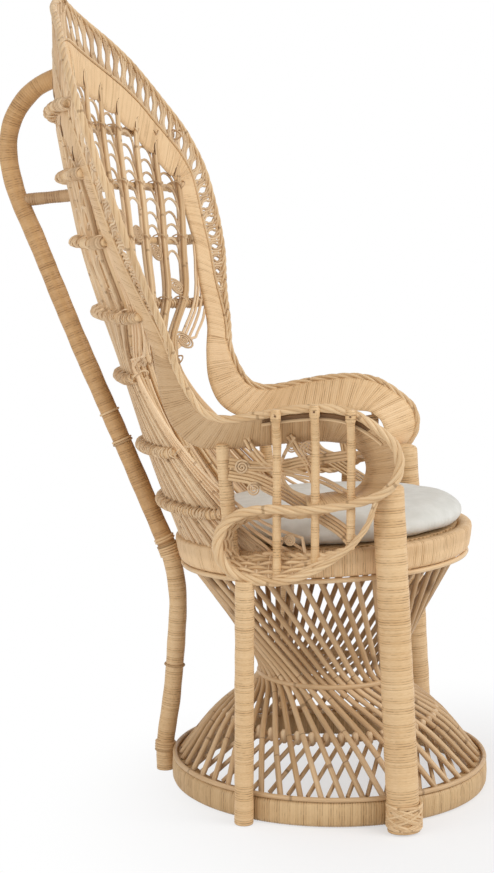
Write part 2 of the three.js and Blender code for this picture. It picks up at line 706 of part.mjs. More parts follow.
// A snail coil: a stalk that rises from its carrier and winds in to the eye. Its route is drawn in two
// coordinates, across and up, and toPlace takes them to the surface that it lies on
const coilGaps = [];
function snail(toPlace, stalk, centre, hand) {
  const spiral = Array.from({ length: COIL_STEPS + 1 }, (_, i) => {
    const t = i / COIL_STEPS;
    const radius = lerp(COIL_OUTER, COIL_INNER, t) - COIL_CANE_RADIUS;
    const turn = 2 * Math.PI * COIL_TURNS * t;
    return toPlace(centre[0] - hand * radius * Math.cos(turn), centre[1] + radius * Math.sin(turn));
  });
  const halfTurn = Math.floor(COIL_STEPS / COIL_TURNS / 2);
  spiral.forEach((here, i) => spiral.slice(i + halfTurn).forEach((there) => {
    coilGaps.push(here.distanceTo(there) - 2 * COIL_CANE_RADIUS);
  }));
  return cane([toPlace(...stalk), ...spiral], COIL_CANE_RADIUS, 4);
}

// Columns of the fan lie between one rib and the next, the last one between the outer rib and the band
const columnMiddle = (rank, z) => (ribPlace(rank, z) + ribPlace(rank + 1, z)) / 2;
function columnTop(rank) {
  let z = FAN[FAN.length - 1][0];
  while (!clearOfBand(columnMiddle(rank, z), z, 1, ARCH_CLEARANCE)) {
    z -= SEARCH_STEP;
  }
  return z;
}

// An arch spans a column like an upturned U, with its feet in the ribs
function arch(rank, side, apex, grown) {
  const points = ARCH_TURNS.map((turn) => {
    const level = apex - ARCH_RISE + ARCH_RISE * Math.sin(radians(turn));
    const share = (1 - Math.cos(radians(turn))) / 2;
    return onBack(side * lerp(ribPlace(rank, level), ribPlace(rank + 1, level), share), level);
  });
  return cane(points, ARCH_CANE_RADIUS + grown, 3);
}

function columnOf(rank, side, grown = 0) {
  const level = FAN_COIL_LEVELS[rank];
  const pieces = [];
  if (rank >= FIRST_COIL_COLUMN) {
    const foot = level - FAN_COIL_STALK;
    const inner = ribPlace(rank, level);
    const outer = rank < RIBS_EACH_SIDE ? ribPlace(rank + 1, level) : inner + OUTER_COLUMN_WIDTH;
    const centre = [(side * (inner + outer)) / 2, level];
    pieces.push(snail(onBack, [side * ribPlace(rank, foot), foot], centre, side));
  }
  if (rank < RIBS_EACH_SIDE) {
    const highest = Math.min(columnTop(rank), ribTop(rank + 1) + ARCH_RISE - 2 * RIB_TOP_WIDTH);
    for (let apex = highest; apex > level + ARCH_PITCH; apex -= ARCH_PITCH) {
      pieces.push(arch(rank, side, apex, grown));
    }
  }
  return pieces;
}

function dressedRib(number) {
  const rank = Math.abs(number);
  const sides = number === 0 ? [1, -1] : [Math.sign(number)];
  const columns = sides.flatMap((side) => columnOf(rank, side));
  let whole = fused([rib(number), ...columns]).subtract(bandRoom);
  if (rank < RIBS_EACH_SIDE) {
    sides.forEach((side) => {
      whole = whole.subtract(solid(rib(side * (rank + 1), FIT)));
    });
  }
  return geometryOf(whole);
}

for (let number = -RIBS_EACH_SIDE; number <= RIBS_EACH_SIDE; number += 1) {
  const side = number > 0 ? 'left' : 'right';
  const name = number === 0 ? 'spine_rib' : `back_rib_${side}_${Math.abs(number)}`;
  place(name, dressedRib(number), RATTAN);
}

// Hoops lashed behind the ribs: the lower ones end at the outer ribs, the others behind the band
function hoopReach(z) {
  if (z < FAN[NECK_ROW][0]) {
    return fanValue(4, z);
  }
  let reach = fanValue(4, z);
  while (clearOfBand(reach, z, 0.5)) {
    reach += SEARCH_STEP;
  }
  return reach;
}

function backHoop(z) {
  const end = Math.asin(Math.min(hoopReach(z) / arcRadius(z), WIDEST_ARC));
  const turns = [];
  for (let number = -RIBS_EACH_SIDE; number <= RIBS_EACH_SIDE; number += 1) {
    turns.push(ribTurn(number, z));
  }
  if (end > turns[turns.length - 1]) {
    turns.unshift(-end);
    turns.push(end);
  }
  const proud = SHEET_HALF + HOOP_STANDOFF + HOOP_RADIUS;
  return cane(turns.map((turn) => onBack(arcRadius(z) * Math.sin(turn), z, proud)), HOOP_RADIUS, 5);
}

HOOP_LEVELS.forEach((z, i) => place(`back_hoop_${i + 1}`, backHoop(z), WRAPPED_RATTAN));

// Rear pole: a walking-cane shape, upright below the seat and hooked into the spine above
const poleCurve = new THREE.CatmullRomCurve3(POLE_ROUTE.map(([y, z]) => point(0, y, z)), false, 'centripetal');
const polePoints = poleCurve.getPoints(2 * (POLE_ROUTE.length - 1));
const pole = cane(polePoints, POLE_RADIUS, POLE_SIDES, { start: point(0, 0, 1) });
const spineRoom = fused([rib(0, FIT), ...columnOf(0, 1, FIT), ...columnOf(0, -1, FIT)]);
const poleSolid = solid(pole).subtract(spineRoom).subtract(bandRoom);
place('rear_pole', geometryOf(poleSolid), WRAPPED_RATTAN);

const poleRoom = solid(cane(polePoints, POLE_RADIUS + FIT, POLE_SIDES, { start: point(0, 0, 1) }));
const braceEnds = [BRACE_AT_POLE, BRACE_AT_BACK].map(([y, z]) => point(0, y, z));
const brace = solid(cane(braceEnds, BRACE_RADIUS, POLE_SIDES)).subtract(poleRoom).subtract(spineRoom);
place('pole_brace', geometryOf(brace), WRAPPED_RATTAN);

// Scroll frame of an arm, like a figure two: over the top, round the front, back, and round the lower loop
function armFrameRoute(side) {
  const bend = ({ y, z, radius, turns }) => turns.map((turn) => [
    y - radius * Math.cos(radians(turn)), z + radius * Math.sin(radians(turn)), ARM_FRAME_PLANE,
  ]);
  const route = [...SCROLL_START, ...bend(SCROLL_FRONT), ...SCROLL_RETURN, ...bend(SCROLL_LOOP), ...SCROLL_END];
  return route.map(([y, z, x]) => point(side * x, y, z));
}

const frameCurve = (side) => new THREE.CatmullRomCurve3(armFrameRoute(side), false, 'centripetal');

function armFrame(side) {
  const route = frameCurve(side).getPoints(ARM_FRAME_STEPS);
  const strand = solid(cane(route, ARM_FRAME_RADIUS, 5));
  return geometryOf(strand.subtract(armBandRoom(side)).subtract(solid(frontLeg(side, FIT))));
}

// Upright bars behind the scroll frame, from its top strand to its lowest
function armBar(side, y) {
  const curve = frameCurve(side);
  const strands = [];
  for (let i = 0; i < ARM_BAR_SEARCH; i += 1) {
    const here = curve.getPoint(i / ARM_BAR_SEARCH);
    const next = curve.getPoint((i + 1) / ARM_BAR_SEARCH);
    if ((here.y - y) * (next.y - y) <= 0) {
      strands.push(here.z);
    }
  }
  const x = side * (ARM_FRAME_PLANE - ARM_FRAME_RADIUS - FIT - ARM_BAR_RADIUS);
  const top = Math.max(...strands) + ARM_BAR_RADIUS;
  const low = Math.min(...strands) - ARM_BAR_RADIUS;
  return cane([point(x, y, low), point(x, y, top)], ARM_BAR_RADIUS, 8);
}

// Inner panel: two canes that rise from the seat ring and cross under the band, with coils that branch off them
function armPanel(side) {
  const at = (y, z) => point(side * ARM_PLANE, y, z);
  const panelCane = ({ ringTurn, route }) => {
    const end = polar(SEAT_OUTER + ARM_CANE_RADIUS + FIT, ringTurn, 0, SEAT_BACK);
    const foot = point(side * Math.abs(end.x), end.y, seatTopAt(end.y) - ARM_CANE_DROP);
    const curve = new THREE.CatmullRomCurve3([foot, ...route.map(([y, z]) => at(y, z))]);
    return cane(curve.getPoints(ARM_CANE_STEPS), ARM_CANE_RADIUS, 4);
  };
  const coils = ARM_COILS.map(([stalk, centre, hand]) => snail(at, stalk, centre, hand));
  const pieces = fused([panelCane(RISING_CANE), panelCane(FALLING_CANE), ...coils]);
  return geometryOf(pieces.subtract(armBandRoom(side)));
}

// Rear post of an arm, fixed to the side of the seat ring and ending under the band
function armPost(side) {
  const reach = SEAT_OUTER + ARM_POST_RADIUS + FIT;
  const footBack = ARM_POST_FOOT_Y - SEAT_BACK;
  const foot = point(side * Math.sqrt(reach * reach - footBack * footBack), ARM_POST_FOOT_Y, 0);
  foot.z = seatUnderAt(foot.y) + ARM_POST_FOOT_LIFT;
  const top = point(side * ARM_POST_TOP[0], ARM_POST_TOP[1], ARM_POST_TOP[2]);
  const post = levelRod([foot, top], [ARM_POST_RADIUS, ARM_POST_RADIUS], 8);
  return geometryOf(solid(loft(post)).subtract(armBandRoom(side)));
}

SIDES.forEach(([hand, side]) => {
  place(`arm_frame_${hand}`, armFrame(side), RATTAN);
  ARM_BARS.forEach((y, i) => place(`arm_bar_${hand}_${i + 1}`, armBar(side, y), WRAPPED_RATTAN));
  place(`arm_panel_${hand}`, armPanel(side), RATTAN);
  place(`arm_post_${hand}`, armPost(side), WRAPPED_RATTAN);
});

console.log(`least gap inside a coil: ${Math.min(...coilGaps).toFixed(2)} mm`);

// The origin goes to the middle of the chair's box, on the floor
const box = new THREE.Box3().setFromObject(chair);
chair.position.y = -(box.min.y + box.max.y) / 2;
chair.updateMatrixWorld(true);

export default chair;
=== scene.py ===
# %% [markdown]
# # A rattan peacock chair
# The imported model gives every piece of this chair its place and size. Here the frame gets its looks: canes with
# knots, split cane wound round the legs and hoops, a braided rim, a lace border and a stuffed cushion.
# Everything is in metres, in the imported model's frame: +Z up, -Y to the front of the seat.

# %% Load the frame
import math
from functools import partial

import bpy
import mathutils
import numpy as np
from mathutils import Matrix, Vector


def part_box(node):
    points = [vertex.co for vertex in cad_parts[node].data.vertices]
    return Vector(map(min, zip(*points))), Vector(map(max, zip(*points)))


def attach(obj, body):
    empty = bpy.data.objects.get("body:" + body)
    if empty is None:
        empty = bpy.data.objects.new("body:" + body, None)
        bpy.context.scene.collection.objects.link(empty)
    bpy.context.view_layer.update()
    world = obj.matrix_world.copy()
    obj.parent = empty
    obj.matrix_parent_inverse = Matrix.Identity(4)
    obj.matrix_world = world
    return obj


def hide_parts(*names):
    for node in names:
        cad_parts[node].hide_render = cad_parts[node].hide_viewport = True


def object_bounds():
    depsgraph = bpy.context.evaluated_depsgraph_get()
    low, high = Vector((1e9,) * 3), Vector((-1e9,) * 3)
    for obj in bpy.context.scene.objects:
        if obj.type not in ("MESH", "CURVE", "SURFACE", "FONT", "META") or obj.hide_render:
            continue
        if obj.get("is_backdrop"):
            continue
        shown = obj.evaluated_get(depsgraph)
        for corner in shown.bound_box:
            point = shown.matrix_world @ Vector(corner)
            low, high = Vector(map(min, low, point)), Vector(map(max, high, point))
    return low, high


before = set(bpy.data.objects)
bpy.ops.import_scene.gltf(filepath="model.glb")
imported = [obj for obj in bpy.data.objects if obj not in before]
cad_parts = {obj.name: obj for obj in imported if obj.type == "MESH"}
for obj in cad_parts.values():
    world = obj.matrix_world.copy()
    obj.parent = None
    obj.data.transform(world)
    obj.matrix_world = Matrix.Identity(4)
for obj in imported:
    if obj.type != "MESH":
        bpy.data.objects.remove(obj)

cad_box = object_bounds()
base_low, base_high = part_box("base_ring")
AXIS_Y = (base_low.y + base_high.y) / 2
print(f"{len(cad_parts)} nodes, pedestal axis at y {AXIS_Y:.4f}")

# %% [markdown]
# ## Finishes
# Three things are seen on the real chair: whole cane with its skin and knots, split cane wound side by side, and
# white canvas. Pictures of them would blur close up, so every finish is made of shader nodes. These helpers add
# nodes and join them, so that a finish reads like a sum and not like a list of links.

# %% Small helpers for shader trees
def tone(red, green, blue):
    """A colour as a screen shows it, 0 to 255, as the linear value that a shader wants."""
    parts = [channel / 255 for channel in (red, green, blue)]
    return [p / 12.92 if p <= 0.04045 else ((p + 0.055) / 1.055) ** 2.4 for p in parts] + [1.0]


def feed(tree, socket, value):
    if isinstance(value, bpy.types.NodeSocket):
        tree.links.new(value, socket)
    else:
        socket.default_value = value


def add(tree, kind, settings=None, **inputs):
    made = tree.nodes.new(kind)
    for key, value in (settings or {}).items():
        setattr(made, key, value)
    for key, value in inputs.items():
        feed(tree, made.inputs[key.replace("_", " ")], value)
    return made


def calc(tree, operation, *values):
    made = add(tree, "ShaderNodeMath", {"operation": operation})
    for socket, value in zip(made.inputs, values):
        feed(tree, socket, value)
    return made.outputs[0]


def blend(tree, share, first, second):
    made = add(tree, "ShaderNodeMix", {"data_type": "RGBA"})
    for number, value in ((0, share), (6, first), (7, second)):
        feed(tree, made.inputs[number], value)
    return made.outputs[2]


def ramp(tree, value, low, high):
    settings = {"interpolation_type": "SMOOTHSTEP"}
    return add(tree, "ShaderNodeMapRange", settings, Value=value, From_Min=low, From_Max=high).outputs[0]


print("mid grey in a shader:", [round(part, 3) for part in tone(128, 128, 128)])

# %% [markdown]
# Cane is never even. Blotches of age lie in space, so they read Object coordinates. Fibres and turns follow the
# cane, so they read the UV map that the pieces below carry: first number along the cane, second number round it.
# A lottery gives each turn, or each cane, one chance value of its own.

# %% Patterns
def object_spot(tree):
    return add(tree, "ShaderNodeTexCoord").outputs["Object"]


def age_blotches(tree, scale):
    return add(tree, "ShaderNodeTexNoise", Vector=object_spot(tree), Scale=scale, Detail=2.0).outputs[0]


def surface_coordinates(tree):
    uv = add(tree, "ShaderNodeUVMap", {"uv_map": "UVMap"}).outputs[0]
    return add(tree, "ShaderNodeSeparateXYZ", Vector=uv).outputs[:2]


def flecks(tree, across, along, scale):
    """Noise over two stretched coordinates."""
    spot = add(tree, "ShaderNodeCombineXYZ", X=across, Y=along).outputs[0]
    flat = {"noise_dimensions": "2D"}
    return add(tree, "ShaderNodeTexNoise", flat, Vector=spot, Scale=scale, Detail=3.0).outputs[0]


def lottery(tree, first, second):
    """One chance value for each pair of whole numbers."""
    spot = add(tree, "ShaderNodeCombineXYZ", X=first, Y=second).outputs[0]
    return add(tree, "ShaderNodeTexWhiteNoise", {"noise_dimensions": "2D"}, Vector=spot).outputs[0]


print("patterns:", ", ".join(made.__name__ for made in (age_blotches, flecks, lottery)))


# %% [markdown]
# Several finishes share the two cane effects with their own tones, so each effect is a node group. Its sockets are
# named once here: three tones go in, and a colour, a roughness and a height come out.

# %% Sockets of the cane groups
TONES = (("Light", "NodeSocketColor"), ("Shade", "NodeSocketColor"), ("Dark", "NodeSocketColor"))
SURFACE = (("Color", "NodeSocketColor"), ("Roughness", "NodeSocketFloat"), ("Height", "NodeSocketFloat"))


def new_group(name, inputs):
    group = bpy.data.node_groups.new(name, "ShaderNodeTree")
    for way, sockets in (("INPUT", inputs), ("OUTPUT", SURFACE)):
        for label, kind in sockets:
            group.interface.new_socket(name=label, in_out=way, socket_type=kind)
    return group, group.nodes.new("NodeGroupInput").outputs, group.nodes.new("NodeGroupOutput").inputs


print("a cane group gives", [label for label, kind in SURFACE])


# %% [markdown]
# Legs, hoops and bands are wound with split cane, turn beside turn. Most turns lie close, and here and there one
# stands loose and shows a dark line. A brick texture would be too regular. Here the whole numbers along the UV map
# are the gaps, noise says how loose each one is, and that one mask widens, darkens, roughens and sinks it.

# %% Split cane, wound in narrow turns
def split_cane_group():
    group, inside, out = new_group("split_cane_turns", TONES + (("Rear", "NodeSocketFloat"),))
    reckon = partial(calc, group)
    along, around = surface_coordinates(group)
    in_turn = reckon("FRACT", along)
    to_gap = reckon("MULTIPLY", reckon("MINIMUM", in_turn, reckon("SUBTRACT", 1.0, in_turn)), 2.0)
    turn_chance = lottery(group, reckon("FLOOR", along), reckon("FLOOR", around))
    fibre = flecks(group, reckon("MULTIPLY", along, 3.0), reckon("MULTIPLY", around, 9.0), 2.2)
    ragged = flecks(group, reckon("MULTIPLY", along, 0.31), reckon("MULTIPLY", around, 5.0), 1.7)
    loose = reckon("MULTIPLY_ADD", turn_chance, 0.55, reckon("MULTIPLY", ragged, 0.8))
    loose = ramp(group, loose, 0.64, 0.98)
    gap_width = reckon("MULTIPLY_ADD", loose, 0.40, 0.14)
    gap = reckon("SUBTRACT", 1.0, ramp(group, reckon("DIVIDE", to_gap, gap_width), 0.0, 1.0))
    gap = reckon("MULTIPLY", gap, reckon("MULTIPLY_ADD", loose, 0.84, 0.14))
    worn = reckon("MULTIPLY_ADD", age_blotches(group, 9.0), 0.75, reckon("MULTIPLY", turn_chance, 0.25))
    worn = reckon("ADD", worn, reckon("MULTIPLY", reckon("SUBTRACT", fibre, 0.5), 0.7))
    skin = blend(group, ramp(group, worn, 0.15, 1.0), inside["Light"], inside["Shade"])
    skin = blend(group, reckon("MULTIPLY", gap, 0.68), skin, inside["Dark"])
    # Painted shade: the back half of the section, a band's rear or underside, is darkened by the rear amount.
    behind = ramp(group, reckon("SINE", reckon("MULTIPLY", around, 2 * math.pi)), -0.2, 0.2)
    skin = blend(group, reckon("MULTIPLY", behind, inside["Rear"]), skin, inside["Dark"])
    feed(group, out["Color"], skin)
    dull = reckon("MULTIPLY_ADD", fibre, 0.2, 0.38)
    feed(group, out["Roughness"], reckon("MULTIPLY_ADD", gap, 0.3, dull))
    rounded = reckon("MULTIPLY", ramp(group, to_gap, 0.0, 0.75), reckon("MULTIPLY_ADD", loose, 0.6, 0.4))
    feed(group, out["Height"], reckon("MULTIPLY_ADD", fibre, 0.12, rounded))
    return group


TURNS = split_cane_group()
print(f"{TURNS.name}: {len(TURNS.nodes)} nodes")

# %% [markdown]
# Whole cane keeps its skin, with fine fibres along it and a darker knot about every quarter of a metre. One pattern
# for all would put the knots in rows, so each cane has its own number in the UV map, and the lottery shifts its
# knots and its tone against its neighbours'.

# %% Whole cane, with its knots
KNOT_SPACING = 0.24


def whole_cane_group():
    group, inside, out = new_group("whole_cane_skin", TONES)
    reckon = partial(calc, group)
    along, around = surface_coordinates(group)
    cane_chance = lottery(group, reckon("FLOOR", around), 3.0)
    fibre = flecks(group, reckon("MULTIPLY", along, 9.0), reckon("MULTIPLY", around, 7.0), 2.0)
    knot_place = reckon("FRACT", reckon("ADD", reckon("DIVIDE", along, KNOT_SPACING), cane_chance))
    from_knot = reckon("ABSOLUTE", reckon("SUBTRACT", knot_place, 0.5))
    knot = reckon("SUBTRACT", 1.0, ramp(group, from_knot, 0.004, 0.016))
    worn = reckon("MULTIPLY_ADD", age_blotches(group, 7.0), 0.5, reckon("MULTIPLY", cane_chance, 0.5))
    worn = reckon("ADD", worn, reckon("MULTIPLY", reckon("SUBTRACT", fibre, 0.5), 0.6))
    skin = blend(group, ramp(group, worn, 0.1, 1.0), inside["Light"], inside["Shade"])
    feed(group, out["Color"], blend(group, reckon("MULTIPLY", knot, 0.6), skin, inside["Dark"]))
    feed(group, out["Roughness"], reckon("MULTIPLY_ADD", fibre, 0.22, 0.36))
    feed(group, out["Height"], reckon("MULTIPLY_ADD", fibre, 0.3, knot))
    return group


SKIN = whole_cane_group()
print(f"{SKIN.name}: {len(SKIN.nodes)} nodes")

# %% [markdown]
# The chair is not one colour: the bands are paler and the pole is the brownest. Some finishes are lighter or darker
# copies of one cane for how light falls on it: the canes of the lower back are paler as painted light, the canes of
# the pedestal are darker as painted shade, and a band's back or underside is painted darker as shade. One material
# could be tinted by place, but separate finishes from the same group are easier to set against a photograph. Each
# lists its light tone, its shade and the dark of its gaps.

# %% Finishes made from the groups
def new_finish(name):
    material = bpy.data.materials.new(name)
    material.use_nodes = True
    return material, material.node_tree, material.node_tree.nodes["Principled BSDF"]


def set_surface(tree, shader, color, roughness, height, strength, relief):
    """Feeds a shader, with a bump that is relief metres deep."""
    bump = add(tree, "ShaderNodeBump", Strength=strength, Distance=relief, Height=height)
    for label, value in (("Base Color", color), ("Roughness", roughness), ("Normal", bump.outputs[0])):
        feed(tree, shader.inputs[label], value)


def cane_finish(name, group, light, shade, dark, relief=0.0005, rear_shade=None):
    """A finish in three tones. On a band, the last number darkens its back or underside: painted shade."""
    material, tree, shader = new_finish(name)
    tones = {"Light": tone(*light), "Shade": tone(*shade), "Dark": tone(*dark)}
    skin = add(tree, "ShaderNodeGroup", {"node_tree": group}, **tones)
    if rear_shade:
        skin.inputs["Rear"].default_value = rear_shade
    set_surface(tree, shader, *skin.outputs[:3], 0.6, relief)
    shader.inputs["Specular IOR Level"].default_value = 0.4
    return material


wound_cane = cane_finish("wound_cane", TURNS, (228, 195, 150), (202, 162, 112), (104, 70, 38))
wound_base = cane_finish("wound_base", TURNS, (211, 179, 134), (182, 146, 101), (98, 66, 36))
wound_pole = cane_finish("wound_pole", TURNS, (208, 166, 114), (174, 131, 83), (98, 64, 34))
wound_brace = cane_finish("wound_brace", TURNS, (194, 160, 120), (160, 124, 86), (92, 60, 36))
# The two band finishes paint shade on the back or underside of their band.
fine_band = cane_finish("fine_band", TURNS, (234, 200, 155), (214, 174, 125), (120, 84, 48), rear_shade=0.18)
arm_wrap = cane_finish("arm_band", TURNS, (234, 200, 155), (212, 172, 122), (112, 76, 42), rear_shade=0.34)
whole_cane = cane_finish("whole_cane", SKIN, (230, 200, 158), (194, 156, 110), (134, 98, 60), 0.0006)
# Painted shade: a darker copy of the whole cane, for the rods, hoops and edge cane of the pedestal under the seat.
shaded_cane = cane_finish("shaded_cane", SKIN, (214, 182, 141), (178, 141, 98), (120, 86, 52), 0.0006)
# Painted light: a paler copy of the whole cane, for the canes of the lower back.
painted_light_cane = cane_finish("painted_light_cane", SKIN, (240, 211, 172), (214, 178, 136), (160, 122, 82), 0.0004)
thin_cane = cane_finish("thin_cane", SKIN, (226, 198, 160), (186, 152, 114), (140, 106, 70), 0.0004)
# dark_cane gives the nail heads their dark colour, and is painted shade in the band's creases and under the arms'
# rims.
dark_cane = cane_finish("dark_cane", SKIN, (128, 92, 56), (100, 70, 40), (76, 50, 28), 0.0003)
print(f"{TURNS.users} finishes of split cane, {SKIN.users} of whole cane")

# %% [markdown]
# ## Ways to make a cane
# A cane starts as a route, a list of places. Places are measured from the pedestal's axis, because nearly all of
# the chair is built round it. A soft line through a few places could be a Bezier curve, but in code it can also be
# measured and cut into equal steps, which the wound turns need.

# %% Places and soft lines
def at(x, y, z):
    """A place measured from the pedestal's axis."""
    return np.array([x, y + AXIS_Y, z])


def polar(radius, turn, z, back=0.0):
    """Turn 0 is the front, 90 the sitter's right."""
    return at(-radius * math.sin(math.radians(turn)), back - radius * math.cos(math.radians(turn)), z)


def unit(vectors):
    return vectors / np.linalg.norm(vectors, axis=-1, keepdims=True)


def easing(value, low, high):
    """Rises softly from 0 to 1 between two values."""
    t = np.clip((value - low) / (high - low), 0, 1)
    return t * t * (3 - 2 * t)


def length_along(points):
    return np.r_[0.0, np.cumsum(np.linalg.norm(np.diff(points, axis=0), axis=1))]


def evenly(points, count):
    """The same line, cut into equal steps."""
    points = np.asarray(points, float)
    run = length_along(points)
    wanted = np.linspace(0.0, run[-1], count + 1)
    return np.stack([np.interp(wanted, run, column) for column in points.T], 1)


def smooth(points, count):
    """A soft line through points, in equal steps."""
    points = np.asarray(points, float)
    padded = np.vstack([2 * points[0] - points[1], points, 2 * points[-1] - points[-2]])
    knots = np.r_[0.0, np.cumsum(np.sqrt(np.linalg.norm(np.diff(padded, axis=0), axis=1)))]
    line = []
    for i in range(1, len(padded) - 2):
        t0, t1, t2, t3 = knots[i - 1:i + 3]
        p0, p1, p2, p3 = padded[i - 1:i + 3]
        t = np.linspace(t1, t2, 24, endpoint=False)[:, None]
        a = (t1 - t) / (t1 - t0) * p0 + (t - t0) / (t1 - t0) * p1
        b = (t2 - t) / (t2 - t1) * p1 + (t - t1) / (t2 - t1) * p2
        c = (t3 - t) / (t3 - t2) * p2 + (t - t2) / (t3 - t2) * p3
        d = (t2 - t) / (t2 - t0) * a + (t - t0) / (t2 - t0) * b
        e = (t3 - t) / (t3 - t1) * b + (t - t1) / (t3 - t1) * c
        line.extend((t2 - t) / (t2 - t1) * d + (t - t1) / (t2 - t1) * e)
    line.append(padded[-2])
    return evenly(line, count)


print("the axis stands on the floor at", at(0, 0, 0).round(3))


# %% [markdown]
# Four kinds of route come back all over the chair: a rod with round bends, a level ring, a loop tied round a cane,
# and strands that wind round a line like a rope. A rope needs directions that follow its line without twisting.

# %% Bends, rings, loops and ropes
def bent(points, cut, steps=5):
    """Straight stretches with a round bend at each inner point."""
    line = [points[0]]
    for before, corner, after in zip(points, points[1:], points[2:]):
        start = corner + (before - corner) * min(cut / np.linalg.norm(before - corner), 0.5)
        end = corner + (after - corner) * min(cut / np.linalg.norm(after - corner), 0.5)
        for t in np.linspace(0, 1, steps):
            line.append((1 - t) ** 2 * start + 2 * t * (1 - t) * corner + t ** 2 * end)
    line.append(points[-1])
    return np.array(line)


def ring_route(radius, z, count):
    return np.array([polar(radius, 360 * i / count, z) for i in range(count)])


def loop_round(middle, first, second, count):
    """A closed loop that reaches out from its middle by first, then by second."""
    angle = np.linspace(0, 2 * math.pi, count, endpoint=False)[:, None]
    return middle + np.cos(angle) * first + np.sin(angle) * second


def frames_along(route):
    """Side and up directions carried along a route without twisting."""
    ahead = unit(np.gradient(route, axis=0))
    side = np.cross([0, 0, 1] if abs(ahead[0][2]) < 0.8 else [1, 0, 0], ahead[0])
    sides = []
    for direction in ahead:
        side = unit(side - direction * side.dot(direction))
        sides.append(side)
    sides = np.array(sides)
    return sides, np.cross(ahead, sides)


def twisted(route, strands, spread, pitch, per_turn=9):
    """Strands that wind round a route like a rope. Spread is one number, or one for each point of the route."""
    turns = max(round(length_along(np.asarray(route))[-1] / pitch), 1)
    core = evenly(route, turns * per_turn)
    side, up = frames_along(core)
    winding = np.linspace(0, 2 * math.pi * turns, len(core))
    spread = np.atleast_1d(spread)
    wide = np.interp(np.linspace(0, 1, len(core)), np.linspace(0, 1, len(spread)), spread)[:, None]
    routes = []
    for k in range(strands):
        angle = (winding + 2 * math.pi * k / strands)[:, None]
        routes.append(core + wide * (np.cos(angle) * side + np.sin(angle) * up))
    return routes


print(f"one turn of a ring of radius 0.1 m: {length_along(ring_route(0.1, 0.0, 73))[-1]:.3f} m")

# %% [markdown]
# A cane is a line with a round section. Cylinders joined end to end would crack at each bend, so it starts as a
# curve: Blender sweeps a round bevel along it, and the curve's point radius can swell and pinch it. Many canes share
# one curve, which becomes a mesh once. The mesh keeps the curve's UV map, whose numbers are then stretched so that
# they count metres, or turns, along each cane, and number the canes.

# %% Canes from curves
SMOOTH_BELOW = math.radians(50)


def only(piece):
    bpy.ops.object.select_all(action="DESELECT")
    piece.select_set(True)
    bpy.context.view_layer.objects.active = piece


def close_mesh(piece, fill=False):
    """Merges the seams of a mesh, fills its open ends where asked, and shades it."""
    only(piece)
    bpy.ops.object.mode_set(mode="EDIT")
    bpy.ops.mesh.select_all(action="SELECT")
    bpy.ops.mesh.remove_doubles(threshold=1e-6)
    if fill:
        bpy.ops.mesh.fill_holes(sides=0)
        bpy.ops.mesh.select_all(action="SELECT")
        bpy.ops.mesh.normals_make_consistent(inside=False)
    bpy.ops.object.mode_set(mode="OBJECT")
    bpy.ops.object.shade_smooth_by_angle(angle=SMOOTH_BELOW)


def rows(items, key, width, kind=float):
    """What every vertex, corner or face of a mesh says, a row for each."""
    flat = np.zeros(len(items) * width, kind)
    items.foreach_get(key, flat)
    return flat.reshape(-1, width)


def canes(name, routes, radius, sides=8, swell=None, closed=False, counts=None):
    """Canes of one thickness. The UV map counts metres along each, or counts[i] in all, and numbers the canes."""
    bpy.ops.object.select_all(action="DESELECT")
    bpy.ops.curve.primitive_nurbs_path_add()
    piece = bpy.context.object
    piece.name = name
    line = piece.data
    line.dimensions = "3D"
    line.splines.clear()
    for number, route in enumerate(routes):
        spline = line.splines.new("POLY")
        spline.points.add(len(route) - 1)
        spline.points.foreach_set("co", np.c_[route, np.ones(len(route))].ravel())
        if swell is not None:
            spline.points.foreach_set("radius", swell[number])
        spline.use_cyclic_u = closed
    line.bevel_depth = radius
    line.bevel_resolution = sides // 2 - 2
    line.use_fill_caps = not closed
    bpy.ops.object.convert(target="MESH")
    mesh = piece.data
    mesh.name = name
    number = np.repeat(np.arange(len(routes)), [(len(r) - (not closed)) * sides for r in routes])
    if not closed:
        number = np.r_[np.repeat(np.arange(len(routes))[::-1], 2 * (sides - 2)), number]
    number = np.repeat(number, rows(mesh.polygons, "loop_total", 1, int).ravel())
    if counts is None:
        counts = [length_along(np.asarray(route))[-1] for route in routes]
    uv = rows(mesh.uv_layers[0].data, "uv", 2)
    uv[:, 0] *= np.asarray(counts, float)[number]
    uv[:, 1] += number
    mesh.uv_layers[0].data.foreach_set("uv", uv.ravel())
    close_mesh(piece)
    return piece


print(f"edges under {math.degrees(SMOOTH_BELOW):.0f} degrees are shaded smooth")


# %% [markdown]
# A wound cane has the same sweep with three points to each turn of split cane: one is pinched, where the turn meets
# the next, and each turn is a touch thicker or thinner than its neighbours. Slow waves make the whole cane uneven,
# as a natural pole is. The pinch could be bump alone, but then the outline of a leg would be too straight.

# %% Wound canes
SEED = 11
chance = np.random.default_rng(SEED)


